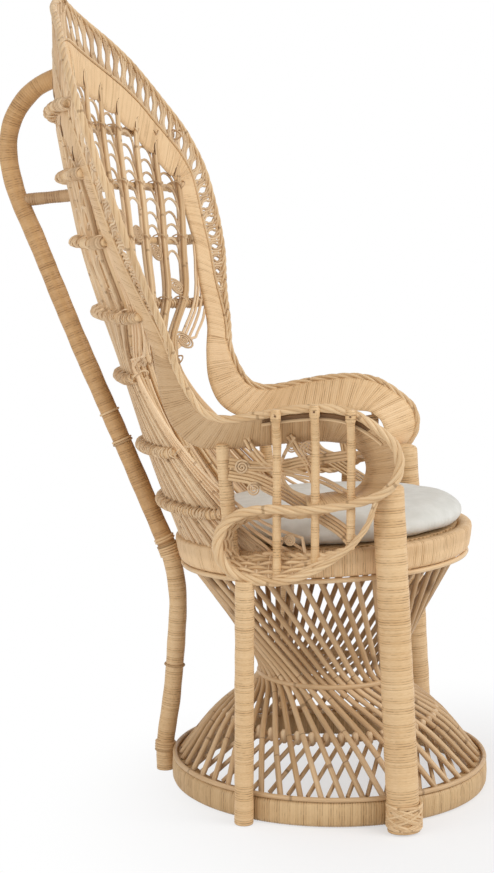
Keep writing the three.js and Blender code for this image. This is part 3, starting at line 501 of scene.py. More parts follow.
def wound(name, routes, radius, pitch, sides, depth=0.0003, taper=(1.0, 1.0), round_ends=(0, 0)):
    """Canes wound with split cane, whose turns are a pitch apart and pinched by a depth."""
    lines, swells, turns = [], [], []
    for number, route in enumerate(routes):
        count = max(round(length_along(np.asarray(route))[-1] / pitch), 2)
        lines.append(evenly(route, 3 * count))
        loose = np.repeat(chance.normal(0, 0.12 * depth / radius, count + 1), 3)[:3 * count + 1]
        pinch = np.where(np.arange(3 * count + 1) % 3 == 0, 1 - depth / radius, 1.0)
        wide = np.linspace(*taper, 3 * count + 1)
        run = length_along(lines[-1])
        for reach, from_end in zip(round_ends, (run, run[-1] - run)):
            if reach:
                wide = wide * np.sqrt(np.maximum(1 - (1 - np.minimum(from_end / reach, 1)) ** 2, 0.02))
        uneven = 0.0005 / radius * np.sin(run / 0.031 + number) * np.sin(run / 0.0123)
        swells.append(wide * (pinch + loose + uneven))
        turns.append(count)
    return canes(name, lines, radius, sides, swells, counts=turns)


print("the turns are made uneven from seed", SEED)


# %% [markdown]
# Bands and hoops with a flat section are grids: one direction of the grid runs along the piece, the other goes
# round the section. A curve can have a flat bevel too, but its width and thickness can't change apart. The grid's
# seam is merged, its open ends are filled, and its UV map comes along for free.

# %% Bands from grids
def swept(name, along, around, place, turns):
    """A grid whose points are put where place says, for shares along it and round it."""
    bpy.ops.object.select_all(action="DESELECT")
    bpy.ops.mesh.primitive_grid_add(x_subdivisions=along, y_subdivisions=around, size=1)
    piece = bpy.context.object
    piece.name = name
    mesh = piece.data
    mesh.name = name
    flat = rows(mesh.vertices, "co", 3) + 0.5
    mesh.vertices.foreach_set("co", place(flat[:, 0], flat[:, 1]).ravel())
    uv = rows(mesh.uv_layers[0].data, "uv", 2)
    uv[:, 0] *= turns
    mesh.uv_layers[0].data.foreach_set("uv", uv.ravel())
    close_mesh(piece, fill=True)
    return piece


def pinched(share, turns, depth):
    """How far a turn of split cane falls back, as a length, over a run of turns."""
    place = np.mod(share * turns, 1.0)
    return depth * np.abs(2 * place - 1) ** 3


def soft_box(turn, half_width, half_height, power=4.0):
    """A rounded box section: offsets across and up for turns from 0 to 1."""
    angle = 2 * math.pi * turn
    c, s = np.cos(angle), np.sin(angle)
    return (
        half_width * np.sign(c) * np.abs(c) ** (2 / power),
        half_height * np.sign(s) * np.abs(s) ** (2 / power),
    )


print("fall in the middle and at the end of a turn:", pinched(np.array([0.5, 1.0]), 1, 0.0005))


# %% [markdown]
# Every piece gets its finish and the body that it moves with, and names the nodes of the imported model that it
# stands for. Those nodes are hidden, and stay where they are for collision.

# %% Giving a piece its finish and its body
def dress(piece, material, nodes=(), body="chair"):
    piece.data.materials.clear()
    piece.data.materials.append(material)
    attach(piece, body)
    if nodes:
        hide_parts(*nodes)
    print(f"{piece.name}: {len(piece.data.polygons)} faces")


# %% [markdown]
# ## Pedestal
# The base ring is a hoop of flattened cane that stands on the floor, wound from end to end, with one cane laid
# along its top edge. A torus with a wave of bump would look smooth in outline, so the ring is a grid with three
# rows to a turn, and each turn falls back a little where it meets the next.

# %% Base ring
BASE_MIDDLE, BASE_HALF_WIDTH, BASE_HALF_HEIGHT = 0.281, 0.019, 0.0235
BASE_TURNS = 390
BASE_EDGE_RADIUS, BASE_EDGE_HEIGHT = 0.2945, 0.0502
EDGE_CANE = 0.0046


def base_place(share, turn):
    across, up = soft_box(turn, BASE_HALF_WIDTH, BASE_HALF_HEIGHT)
    fall = pinched(share, BASE_TURNS, 0.0006)
    radius = BASE_MIDDLE + across * (1 - fall / BASE_HALF_WIDTH)
    z = BASE_HALF_HEIGHT + up * (1 - fall / BASE_HALF_HEIGHT)
    angle = 2 * math.pi * share
    return np.stack([-radius * np.sin(angle), AXIS_Y - radius * np.cos(angle), z], 1)


base_ring = swept("base_ring_wound", 3 * BASE_TURNS, 16, base_place, BASE_TURNS)
dress(base_ring, wound_base, ["base_ring"])
base_edge = ring_route(BASE_EDGE_RADIUS, BASE_EDGE_HEIGHT, 120)
base_edge = canes("base_edge_cane", [base_edge], EDGE_CANE, closed=True)
dress(base_edge, shaded_cane, ["base_ring_cane"])

# %% [markdown]
# Forty-eight rods rise from the base ring, bend in at the waist and spread again to the seat ring, all leaning one
# way, which gives the hourglass its twist. One rod could be copied round the axis, but they crowd together at the
# waist in groups of six, so each gets its own route. A single cane binds the waist.

# %% Rods of the pedestal
RODS, RODS_IN_GROUP = 48, 6
ROD_PITCH = 360 / RODS
ROD_CANE, HOOP_CANE = 0.0053, 0.0052
ROD_TOP_RADIUS, ROD_CROWDING, ROD_BEND = 0.253, 0.96, 0.045
# Radius, twist in degrees and height where a rod passes waist, skirt and base ring
ROD_WAIST, ROD_SKIRT, ROD_FOOT = (0.122, -35, 0.208), (0.218, -65, 0.130), (0.283, -74, 0.0465)
WAIST_RADIUS, WAIST_HEIGHT = 0.1335, 0.2085
SEAT_BACK, SEAT_TOP, SEAT_RAKE, SEAT_RING_HEIGHT = 0.014, 0.487, 0.05, 0.050


def seat_top_at(y):
    return SEAT_TOP - SEAT_RAKE * (y - SEAT_BACK)


def pedestal_rod(number):
    middle = (number // RODS_IN_GROUP + 0.5) * RODS_IN_GROUP * ROD_PITCH
    start = (number + 0.5) * ROD_PITCH
    crowded = middle + (start - middle) * ROD_CROWDING
    top = polar(ROD_TOP_RADIUS, start, 0.0, SEAT_BACK)
    top[2] = seat_top_at(top[1] - AXIS_Y) - SEAT_RING_HEIGHT
    line = [top]
    for turn, (radius, twist, z) in ((crowded, ROD_WAIST), (start, ROD_SKIRT), (start, ROD_FOOT)):
        line.append(polar(radius, turn + twist, z))
    return bent(line, ROD_BEND, 6)


pedestal = canes("pedestal_canes", [pedestal_rod(number) for number in range(RODS)], ROD_CANE)
dress(pedestal, shaded_cane, [f"pedestal_rods_{k}" for k in range(1, 9)])
waist = canes("waist_cane", [ring_route(WAIST_RADIUS, WAIST_HEIGHT, 72)], HOOP_CANE, closed=True)
dress(waist, shaded_cane, ["waist_hoop"])

# %% [markdown]
# Inside the skirt a second hoop carries short rods that lean the other way, so that the two sets cross. Where a
# short rod hangs on the hoop, a fat little loop of cane holds it. A sphere would do for a knot from afar. Here it is
# a very short cane that swells in its middle.

# %% Crossing rods of the skirt
SKIRT_HOOP_RADIUS, SKIRT_HOOP_HEIGHT = 0.200, 0.130
SKIRT_CANE, SKIRT_HOOP_CANE, SKIRT_KNOT = 0.0042, 0.0050, 0.0078
# Radius, degrees past its start and height at three places of a short rod
SKIRT_ROD = ((0.2005, -0.4, 0.139), (0.2035, 0.3, 0.126), (0.270, 14, 0.0465))
KNOT_RADIUS, KNOT_PAST = 0.2005, -0.2
KNOT_LIFTS, KNOT_SWELL = (0.013, 0.009, 0.0, -0.008, -0.012), (0.45, 0.9, 1.0, 0.85, 0.4)

crossing, knots = [], []
for number in range(RODS):
    turn = (number + 0.5) * ROD_PITCH
    crossing.append(evenly([polar(radius, turn + past, z) for radius, past, z in SKIRT_ROD], 8))
    knots.append([polar(KNOT_RADIUS, turn + KNOT_PAST, SKIRT_HOOP_HEIGHT + lift) for lift in KNOT_LIFTS])
dress(canes("skirt_canes", crossing, SKIRT_CANE, 6), shaded_cane, ["skirt_lattice"])
skirt_ring = ring_route(SKIRT_HOOP_RADIUS, SKIRT_HOOP_HEIGHT, 96)
dress(canes("skirt_hoop", [skirt_ring], SKIRT_HOOP_CANE, closed=True), shaded_cane)
dress(canes("skirt_knots", knots, SKIRT_KNOT, 8, [KNOT_SWELL] * RODS), thin_cane)

# %% [markdown]
# ## Seat
# The seat ring leans back a little and narrows downwards, and it is wound like the base. Its own frame has z at 0
# on the ring's top, so the ring, its lower cane and the cushion can all be drawn level and leaned at the end.

# %% Seat ring
SEAT_LEAN = math.atan(SEAT_RAKE)
SEAT_MIDDLE, SEAT_HALF_WIDTH, SEAT_HALF_HEIGHT = 0.2665, 0.0145, 0.025
SEAT_TURNS, SEAT_NARROWING = 370, 0.0045
SEAT_EDGE_DROP = 0.0548


def on_seat(x, y, z):
    """From the seat's own frame, where z is 0 on the ring's top, to the chair's."""
    return np.stack(np.broadcast_arrays(
        x,
        AXIS_Y + SEAT_BACK + y * math.cos(SEAT_LEAN) + z * math.sin(SEAT_LEAN),
        SEAT_TOP - y * math.sin(SEAT_LEAN) + z * math.cos(SEAT_LEAN),
    ), -1)


def seat_place(share, turn):
    across, up = soft_box(turn, SEAT_HALF_WIDTH, SEAT_HALF_HEIGHT)
    fall = pinched(share, SEAT_TURNS, 0.0005)
    narrowing = SEAT_NARROWING * (up / SEAT_HALF_HEIGHT - 1)
    radius = SEAT_MIDDLE + narrowing + across * (1 - fall / SEAT_HALF_WIDTH)
    z = up * (1 - fall / SEAT_HALF_HEIGHT) - SEAT_HALF_HEIGHT
    angle = 2 * math.pi * share
    return on_seat(-radius * np.sin(angle), -radius * np.cos(angle), z)


seat_ring = swept("seat_ring_wound", 3 * SEAT_TURNS, 16, seat_place, SEAT_TURNS)
dress(seat_ring, fine_band, ["seat_ring"])
angles = np.linspace(0, 2 * math.pi, 120, endpoint=False)
under_edge = on_seat(-SEAT_MIDDLE * np.sin(angles), -SEAT_MIDDLE * np.cos(angles), -SEAT_EDGE_DROP)
dress(canes("seat_edge_cane", [under_edge], EDGE_CANE, closed=True), whole_cane, ["seat_ring_cane"])

# %% [markdown]
# The cushion hides the deck of the seat, so the flat panel of the imported model stays and only gets a finish: two
# crossed waves make a basket weave, and the same height gives it bump and colour, with painted shade in its low
# places.

# %% Woven seat panel
BASKET_FINENESS = 420.0


def crossed_threads(tree, spot, fineness):
    """Two waves, along x and along y."""
    parts = add(tree, "ShaderNodeSeparateXYZ", Vector=spot).outputs
    return [calc(tree, "SINE", calc(tree, "MULTIPLY", part, fineness)) for part in parts[:2]]


def basket_finish():
    material, tree, shader = new_finish("basket_panel")
    spot = object_spot(tree)
    weave = calc(tree, "MULTIPLY", *crossed_threads(tree, spot, BASKET_FINENESS))
    grain = add(tree, "ShaderNodeTexNoise", Vector=spot, Scale=60.0).outputs[0]
    height = calc(tree, "MULTIPLY_ADD", grain, 0.4, weave)
    # Painted shade: the low places of the weave are darker.
    color = blend(tree, ramp(tree, height, -1.0, 1.0), tone(150, 112, 70), tone(222, 188, 142))
    set_surface(tree, shader, color, calc(tree, "MULTIPLY_ADD", grain, 0.3, 0.4), height, 0.7, 0.0015)
    return material


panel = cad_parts["seat_panel"]
panel.data.materials.clear()
panel.data.materials.append(basket_finish())
print("woven panel:", panel.name)

# %% [markdown]
# ## Legs, pole and brace
# Two thick front legs carry the arms, and two thin side legs stand under the scrolls. They are rattan poles wound
# with split cane, so each is one wound route from foot to top. Plain cylinders would have too clean an outline.
# The front legs taper a little and have round tops.

# %% Legs
HANDS = (("left", 1), ("right", -1))
FRONT_FOOT, FRONT_TOP, FRONT_HEIGHT, FRONT_RADIUS = (0.2922, -0.1586), (0.2698, -0.1232), 0.610, 0.029
SIDE_FOOT, SIDE_TOP, SIDE_HEIGHT, SIDE_RADIUS = (0.2927, 0.123), (0.318, 0.118), 0.442, 0.017
FOOT_LIFT, FRONT_PITCH, SIDE_PITCH = 0.002, 0.0047, 0.0045


def leg_route(foot, top, height, side):
    return np.array([at(side * foot[0], foot[1], FOOT_LIFT), at(side * top[0], top[1], height)])


for hand, side in HANDS:
    route = leg_route(FRONT_FOOT, FRONT_TOP, FRONT_HEIGHT, side)
    name = f"front_leg_{hand}"
    ends = {"taper": (1.0, 0.95), "round_ends": (0, 0.012)}
    leg = wound(f"{name}_wound", [route], FRONT_RADIUS, FRONT_PITCH, 20, **ends)
    dress(leg, wound_cane, [name])
    route = leg_route(SIDE_FOOT, SIDE_TOP, SIDE_HEIGHT, side)
    name = f"side_leg_{hand}"
    dress(wound(f"{name}_wound", [route], SIDE_RADIUS, SIDE_PITCH, 16), wound_cane, [name])

# %% [markdown]
# At the foot of each front leg the last turns cross over, which ties the leg to the base ring. Bump can't cross over
# itself, so the ties are thin canes that climb and fall while they go round, half of them each way.

# %% Crossed ties at the front feet
TIE_REACH, TIE_CANE, TIE_TURNS = 0.0298, 0.0030, 1.5
TIE_LOW, TIE_CLIMB = 0.010, 0.040


def foot_ties(side):
    routes = []
    for hand in (1, -1):
        for start in (0.0, 0.25, 0.5, 0.75):
            turn = np.linspace(0, TIE_TURNS * 2 * math.pi, 28)
            height = TIE_LOW + TIE_CLIMB * (0.5 - 0.5 * np.cos(turn / TIE_TURNS + start))
            angle = hand * turn + start * 2 * math.pi
            ring = np.stack([TIE_REACH * np.cos(angle), TIE_REACH * np.sin(angle), height], 1)
            routes.append(at(side * FRONT_FOOT[0], FRONT_FOOT[1], 0.0) + ring)
    return routes


for hand, side in HANDS:
    dress(canes(f"foot_ties_{hand}", foot_ties(side), TIE_CANE, 6), whole_cane)

# %% [markdown]
# One pole, shaped like a walking stick, props up the back from behind. A short brace ties it to the fan. Both are
# wound. The part below the seat is a separate piece with the legs' paler finish: the real pole is paler there, and
# the paler finish is also painted light where the seat keeps the lamps off it.

# %% Rear pole and its brace
POLE_ROUTE = (
    (0.3184, 0.0), (0.3184, 0.052), (0.305, 0.150), (0.296, 0.260), (0.293, 0.345), (0.305, 0.418), (0.331, 0.481),
    (0.399, 0.640), (0.486, 0.838), (0.561, 1.021), (0.602, 1.120), (0.614, 1.195), (0.601, 1.252), (0.562, 1.301),
    (0.496, 1.333),
)
POLE_RADIUS, POLE_PITCH, POLE_CHANGE = 0.0175, 0.0048, 0.440
BRACE_ENDS, BRACE_RADIUS, BRACE_DEPTH = ((0.590, 1.095), (0.480, 1.106)), 0.012, 0.0005
pole_line = smooth([at(0, y, z) for y, z in POLE_ROUTE], 300)
change = int(np.argmax(pole_line[:, 2] > POLE_CHANGE))
pole = wound("rear_pole_wound", [pole_line[change:]], POLE_RADIUS, POLE_PITCH, 16, round_ends=(0, 0.010))
dress(pole, wound_pole, ["rear_pole"])
# Partly painted light: the foot gets the legs' paler finish.
pole_foot = wound("rear_pole_foot", [pole_line[:change + 2]], POLE_RADIUS, POLE_PITCH, 16)
dress(pole_foot, wound_cane)
brace_line = np.array([at(0, y, z) for y, z in BRACE_ENDS])
brace = wound("pole_brace_wound", [brace_line], BRACE_RADIUS, POLE_PITCH, 14, BRACE_DEPTH)
dress(brace, wound_brace, ["pole_brace"])

# %% [markdown]
# Split cane lashes the pole at its foot, behind the seat ring and in a few places up the back. The lashings are
# closed loops set square to the pole, so that they stand out in its outline.

# %% Pole lashings
# Height of the lowest loop, number of loops, step from one to the next
POLE_TIES = ((0.040, 4, 0.0048), (0.205, 2, 0.0046), (0.424, 7, 0.0050), (0.640, 2, 0.0046), (0.830, 2, 0.0046))
POLE_TIE_REACH, POLE_TIE_CANE = 0.0182, 0.0024
pole_side, pole_up = frames_along(pole_line)


def pole_tie(z):
    """A loop of split cane round the pole at one height."""
    near = int(np.argmin(np.abs(pole_line[:150, 2] - z)))
    return loop_round(pole_line[near], POLE_TIE_REACH * pole_side[near], POLE_TIE_REACH * pole_up[near], 18)


pole_ties = [pole_tie(z + step * k) for z, count, step in POLE_TIES for k in range(count)]
dress(canes("pole_ties", pole_ties, POLE_TIE_CANE, 6, closed=True), wound_cane)

# %% [markdown]
# ## Back
# The back is one curved surface: level arcs whose radius, depth and width change with height. A subdivided sheet
# could be bent to it, but canes must lie on it exactly, so it is a table with smooth curves through its columns. The
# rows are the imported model's own, so that canes, hoops, band and lace all lie where the solids are.

# %% Surface of the back
# Height, half width of the fan, radius of its level arc, depth of the spine, spread of the outermost rib
FAN = np.array([
    [0.484, 0.262, 0.266, 0.280, 0.258],
    [0.600, 0.262, 0.285, 0.325, 0.230],
    [0.728, 0.262, 0.302, 0.366, 0.180],
    [0.813, 0.310, 0.388, 0.391, 0.196],
    [0.908, 0.388, 0.539, 0.421, 0.300],
    [1.005, 0.482, 0.778, 0.444, 0.376],
    [1.090, 0.522, 0.941, 0.458, 0.420],
    [1.173, 0.538, 1.077, 0.471, 0.446],
    [1.240, 0.507, 1.090, 0.481, 0.460],
    [1.324, 0.397, 0.959, 0.490, 0.468],
    [1.400, 0.247, 0.678, 0.500, 0.474],
    [1.448, 0.098, 0.560, 0.506, 0.477],
    [1.466, 0.000, 0.560, 0.507, 0.478],
])
ARC_RADIUS, SPINE_DEPTH, RIB_REACH = 2, 3, 4
NECK_ROW = 3
NECK = FAN[NECK_ROW][0]


def fan(column, z):
    """A smooth curve through one column of the table."""
    heights, values = FAN[:, 0], FAN[:, column]
    z = np.asarray(z, float)
    last = len(heights) - 1
    row = np.clip(np.searchsorted(heights, z) - 1, 0, last - 1)
    low, high = np.maximum(np.arange(last + 1) - 1, 0), np.minimum(np.arange(last + 1) + 1, last)
    slope = (values[high] - values[low]) / (heights[high] - heights[low])
    span = heights[row + 1] - heights[row]
    t = (z - heights[row]) / span
    rise = (3 - 2 * t) * t * t
    leave = t * (1 - t) ** 2 * span * slope[row]
    arrive = t * t * (t - 1) * span * slope[row + 1]
    return values[row] * (1 - rise) + values[row + 1] * rise + leave + arrive


def back_depth(x, z):
    radius = fan(ARC_RADIUS, z)
    return AXIS_Y + fan(SPINE_DEPTH, z) - radius + np.sqrt(np.maximum(radius ** 2 - x ** 2, 1e-6))


def back_normal(x, z, step=0.002):
    slope_x = (back_depth(x + step, z) - back_depth(x - step, z)) / (2 * step)
    slope_z = (back_depth(x, z + step) - back_depth(x, z - step)) / (2 * step)
    return unit(np.stack([-slope_x, np.ones_like(slope_x), -slope_z], -1))


def on_back(x, z, proud=0.0):
    """A place on the back, or proud of it to the rear."""
    x, z, proud = np.broadcast_arrays(np.asarray(x, float), np.asarray(z, float), np.asarray(proud, float))
    return np.stack([x, back_depth(x, z), z], -1) + back_normal(x, z) * proud[..., None]


print(f"spine at the tip: y {back_depth(0.0, FAN[-1][0]):.3f}")

# %% [markdown]
# Lace and band follow the edge of the fan, so they are measured from it: a share of the way from the right neck
# over the tip to the left neck, and a stretch inwards over the surface. Both are widest near the tip.

# %% Edge of the fan
rising = [on_back(-width, z) for z, width in FAN[NECK_ROW:, :2]]
falling = [on_back(width, z) for z, width in FAN[NECK_ROW:-1, :2]][::-1]
EDGE = smooth(rising + falling, 2400)
EDGE_LENGTH = length_along(EDGE)[-1]
EDGE_AHEAD = unit(np.gradient(EDGE, axis=0))
EDGE_NORMAL = back_normal(EDGE[:, 0], EDGE[:, 2])
EDGE_NORMAL = unit(EDGE_NORMAL - EDGE_AHEAD * np.sum(EDGE_NORMAL * EDGE_AHEAD, 1)[:, None])
EDGE_INWARD = np.cross(EDGE_NORMAL, EDGE_AHEAD)
LACE_AT_NECK, LACE_GROWTH, LACE_AT_TIP = 0.012, 0.046, 0.076
BAND_AT_NECK, BAND_GROWTH = 0.050, 0.020


def edge_mix(table, share):
    steps = np.linspace(0, 1, len(table))
    return np.stack([np.interp(share, steps, table[:, k]) for k in range(3)], -1)


def climb_of(share):
    """0 at the necks, 1 at the tip."""
    return 1 - np.abs(1 - 2 * np.asarray(share, float))


def lace_width(share):
    lower = LACE_AT_NECK + LACE_GROWTH * easing(climb_of(share), 0, 0.32)
    return lower + (LACE_AT_TIP - lower) * easing(climb_of(share), 0.6, 1.0)


def band_width(share):
    return BAND_AT_NECK + BAND_GROWTH * easing(climb_of(share), 0.2, 0.5)


def in_from_edge(share, inset, proud=0.0):
    """A place on the back, a stretch in from its edge."""
    spot = edge_mix(EDGE, share) + edge_mix(EDGE_INWARD, share) * np.asarray(inset)[..., None]
    return on_back(spot[..., 0], spot[..., 2], proud)


print(f"edge of the fan: {EDGE_LENGTH:.3f} m")

# %% [markdown]
# Thirteen ribs fan out from the seat, each of two canes side by side, and end inside the band. Their tops are
# searched for: a rib climbs in small steps until it meets the middle of the band. In the lower back the canes of a
# rib stand further apart, so that they fill it.

# %% Ribs
RIBS = 6
RIB_NUMBERS = range(-RIBS, RIBS + 1)
RIB_CANE, RIB_APART, SEARCH_STEP = 0.0036, 0.0031, 0.002
SPREAD_AT_SEAT, SPREAD_AT_WAIST = 2.1, 1.5
BORDER_SHARES = np.linspace(0, 1, 240)
BORDER = edge_mix(EDGE, BORDER_SHARES)


def rib_x(number, z):
    radius = fan(ARC_RADIUS, z)
    return radius * np.sin(number / RIBS * np.arcsin(np.minimum(fan(RIB_REACH, z) / radius, 0.97)))


def clear_of_band(x, z, part, margin=0.0):
    """Whether a place is clear of the lace and of a part of the band's width."""
    reach = lace_width(BORDER_SHARES) + part * band_width(BORDER_SHARES)
    return bool(np.all(np.linalg.norm(BORDER - on_back(x, z), axis=1) > reach + margin))


def rib_top(number):
    z = NECK
    while clear_of_band(rib_x(number, z), z, 0.5):
        z += SEARCH_STEP
    return z


def rib_spread(z):
    """How far a rib's canes stand apart, against their distance in the fan."""
    lower = SPREAD_AT_SEAT + (SPREAD_AT_WAIST - SPREAD_AT_SEAT) * easing(z, 0.50, 0.728)
    return lower + (1.0 - lower) * easing(z, 0.728, 0.900)


RIB_TOPS = {number: rib_top(number) for number in RIB_NUMBERS}
RIB_FOOT = seat_top_at(fan(SPINE_DEPTH, SEAT_TOP)) + 0.001
main_canes = []
for number in RIB_NUMBERS:
    z = np.linspace(RIB_FOOT, RIB_TOPS[number], 36)
    apart = RIB_APART * rib_spread(z) ** 0.6
    main_canes.extend(on_back(rib_x(number, z) + hand * apart, z, -0.0035) for hand in (1, -1))
rib_nodes = [f"back_rib_{hand}_{k}" for hand, _ in HANDS for k in range(1, RIBS + 1)]
dress(canes("back_canes", main_canes, RIB_CANE), whole_cane, ["spine_rib"] + rib_nodes)

# %% [markdown]
# Between two ribs, thin canes climb from the seat, turn over in an arch and come down again, one arch under another.
# Five layers are set off from each other by a cane's width, or they would run through each other on their way down.
# In each column a snail coil hangs below the arches: a flat spiral at the end of a straight stalk.

# %% Arches and snail coils between the ribs
ARCH_PITCH, ARCH_RISE, ARCH_CANE = 0.027, 0.040, 0.0028
ARCH_OFFSETS_TOP = (0.0036, 0.0036, 0.0062, 0.0040, 0.0062)
ARCH_OFFSETS_FOOT = (0.0065, 0.0110, 0.0155, 0.0200, 0.0085)
ARCH_DEPTHS = (0.0022, 0.0060, 0.0040, 0.0022, 0.0060)
LAYERS = len(ARCH_DEPTHS)
COIL_LEVELS = (1.092, 1.082, 1.062, 1.031, 0.993, 0.923, 0.818)
COIL_CANE, OUTER_COLUMN = 0.0024, 0.054
# Length of a stalk, and how far its foot stands off the rib; the last coil hangs outside the outermost rib
STALK, OUTER_STALK = (0.12, 0.004), (0.065, -0.006)


def column_top(rank):
    z = FAN[-1][0]
    while not clear_of_band((rib_x(rank, z) + rib_x(rank + 1, z)) / 2, z, 1.0, 0.004):
        z -= SEARCH_STEP
    return z


def arch(rank, side, apex, layer):
    """One long cane: up a rib from the seat, over a column and down the next rib."""
    leg = np.linspace(RIB_FOOT, apex - ARCH_RISE, 30)[:-1]
    turn = np.radians(np.linspace(0, 180, 13))
    level = np.r_[leg, apex - ARCH_RISE + ARCH_RISE * np.sin(turn), leg[::-1]]
    share = np.r_[np.zeros(29), (1 - np.cos(turn)) / 2, np.ones(29)]
    gather = easing(level, 0.60, 0.93)
    offset = ARCH_OFFSETS_FOOT[layer] * (1 - gather) + ARCH_OFFSETS_TOP[layer] * gather
    place = (rib_x(rank, level) + offset) * (1 - share) + (rib_x(rank + 1, level) - offset) * share
    return on_back(side * place, level, ARCH_DEPTHS[layer])


def snail(to_place, stalk, centre, hand, turns=3.6, outer=0.0205, cane=COIL_CANE):
    """A straight stalk that ends in a flat spiral."""
    angle = np.linspace(0, 2 * math.pi * turns, 58)
    radius = np.linspace(outer, 0.003, 58) - cane
    across = centre[0] - hand * radius * np.cos(angle)
    up = centre[1] + radius * np.sin(angle)
    start = np.linspace(0, 1, 6)[:-1, None] * (np.array([across[0], up[0]]) - stalk) + stalk
    return to_place(np.r_[start[:, 0], across], np.r_[start[:, 1], up])


arches, coils = [], []
for rank, level in enumerate(COIL_LEVELS):
    inner = rib_x(rank, level)
    outer = rib_x(rank + 1, level) if rank < RIBS else inner + OUTER_COLUMN
    length, off = STALK if rank < RIBS else OUTER_STALK
    for side in (1, -1):
        if rank >= 1:
            stalk = np.array([side * (rib_x(rank, level - length) + off), level - length])
            coils.append(snail(on_back, stalk, (side * (0.45 * inner + 0.55 * outer), level), side))
        if rank < RIBS:
            apex = min(column_top(rank), RIB_TOPS[rank + 1] + ARCH_RISE - 0.026)
            count = int((apex - level - 0.055) / ARCH_PITCH) + 1
            arches.extend(arch(rank, side, apex - ARCH_PITCH * k, k % LAYERS) for k in range(count))
dress(canes("back_arches", arches, ARCH_CANE, 6), thin_cane)
dress(canes("back_coils", coils, COIL_CANE, 6), thin_cane)

# %% [markdown]
# Seven wound hoops stand off behind the ribs and hold them together. Their ends are drawn in to the band, which they
# meet at its middle, so the reach of a hoop is searched for in the same way as the top of a rib.

# %% Hoops behind the ribs
HOOP_LEVELS = (0.546, 0.648, 0.779, 0.898, 1.023, 1.133, 1.241)
HOOP_RADIUS, HOOP_PROUD, HOOP_DRAWN_IN = 0.0082, 0.0165, 0.0105
HOOP_PITCH, HOOP_DEPTH = 0.0056, 0.0005


def hoop_reach(z):
    reach = float(fan(RIB_REACH, z))
    if z >= NECK:
        while clear_of_band(reach, z, 0.5):
            reach += SEARCH_STEP
    return reach


def hoop_proud(share):
    return HOOP_PROUD - HOOP_DRAWN_IN * easing(np.abs(share), 0.90, 1.0)


def hoop_route(z, trim=1.0):
    radius = float(fan(ARC_RADIUS, z))
    end = math.asin(min(hoop_reach(z) / radius, 0.97))
    share = np.linspace(-trim, trim, 90)
    return on_back(radius * np.sin(end * share), z, hoop_proud(share))


hoop_lines = [hoop_route(z) for z in HOOP_LEVELS]
hoops = wound("back_hoops", hoop_lines, HOOP_RADIUS, HOOP_PITCH, 10, HOOP_DEPTH, round_ends=(0.008, 0.008))
dress(hoops, wound_cane, [f"back_hoop_{k}" for k in range(1, 8)])

# %% [markdown]
# Each rib is lashed to each hoop with two crossed loops of thin cane, and each hoop's end has seven loops side by
# side. Round the four lower hoops one more strand winds in an open spiral. There are hundreds of loops, so each has
# only four sides.

# %% Lashings of the hoops
LASH_CANE, LASH_LEAN, LASH_REACH = 0.0018, 0.007, 0.0075
RIB_LOOP, RIB_LOOP_ASIDE, END_LOOP, END_LOOP_LEAN = 0.0096, 0.0045, 0.0094, 0.0012
END_LOOPS, END_LOOP_STEP, END_LOOP_START = 7, 0.0044, 0.006
SPIRAL_HOOPS, SPIRAL_REACH, SPIRAL_PITCH = 4, 0.0092, 0.0088


def lashing(z, x, radius, lean, reach=0.0):
    """A loop of split cane round a hoop; reach draws it out to take in the rib as well."""
    proud = float(hoop_proud(x / hoop_reach(z)))
    ahead = unit(on_back(x + 0.004, z, proud) - on_back(x - 0.004, z, proud))
    out = back_normal(np.array(x), np.array(z))
    up = np.cross(out, ahead)
    return loop_round(on_back(x, z, proud - reach), out * (radius + reach), up * radius + ahead * lean, 14)


loops = []
for z in HOOP_LEVELS:
    for number in RIB_NUMBERS:
        for way in (-1, 1):
            x = float(rib_x(number, z)) + way * RIB_LOOP_ASIDE
            loops.append(lashing(z, x, RIB_LOOP, -way * LASH_LEAN, LASH_REACH))
    start = hoop_reach(z) - END_LOOP_START
    for side in (1, -1):
        ends = [side * (start - END_LOOP_STEP * k) for k in range(END_LOOPS)]
        loops.extend(lashing(z, x, END_LOOP, END_LOOP_LEAN) for x in ends)
dress(canes("hoop_lashings", loops, LASH_CANE, 4, closed=True), thin_cane)
winding = [twisted(hoop_route(z, 0.97), 1, SPIRAL_REACH, SPIRAL_PITCH, 8)[0] for z in HOOP_LEVELS[:SPIRAL_HOOPS]]
dress(canes("hoop_spirals", winding, LASH_CANE, 4), thin_cane)

# %% [markdown]
# Below the neck the back is nearly closed: short canes stand between the ribs, with a paler finish that is painted
# light, as the lamps leave the lower back in more shade. A woven plane would show no light between them, so they are
# single canes. Their places and tops vary a little by a sine, not by chance.

# %% Canes that fill the lower back
FILL_PLACES = np.arange(-RIBS + 0.30, RIBS, 0.40)
FILL_TOP, FILL_CANE = 0.800, 0.0031


def fill_cane(place):
    """A short cane between two ribs, from the seat up to where the back gathers in."""
    z = np.linspace(RIB_FOOT, FILL_TOP - 0.05 * abs(math.sin(3 * place)), 16)
    spread = place + 0.10 * np.sin(2.3 * place) * easing(z, 0.55, 0.75)
    return on_back(rib_x(spread, z), z, 0.0015)


fill_canes = canes("back_fill_canes", [fill_cane(place) for place in FILL_PLACES], FILL_CANE, 6)
dress(fill_canes, painted_light_cane)

# %% [markdown]
# Outside the outermost rib, four more canes on each side leave it one after another and sweep out into the band.
# Each route is a mix of the rib's line and the band's edge, and the mix grows with height.

# %% Outer canes of the fan
OUTER_TOPS = (1.135, 1.075, 1.010, 0.945)
OUTER_OFFSETS = (0.0005, 0.0036, 0.0067, 0.0098)
OUTER_CANE = 0.0030


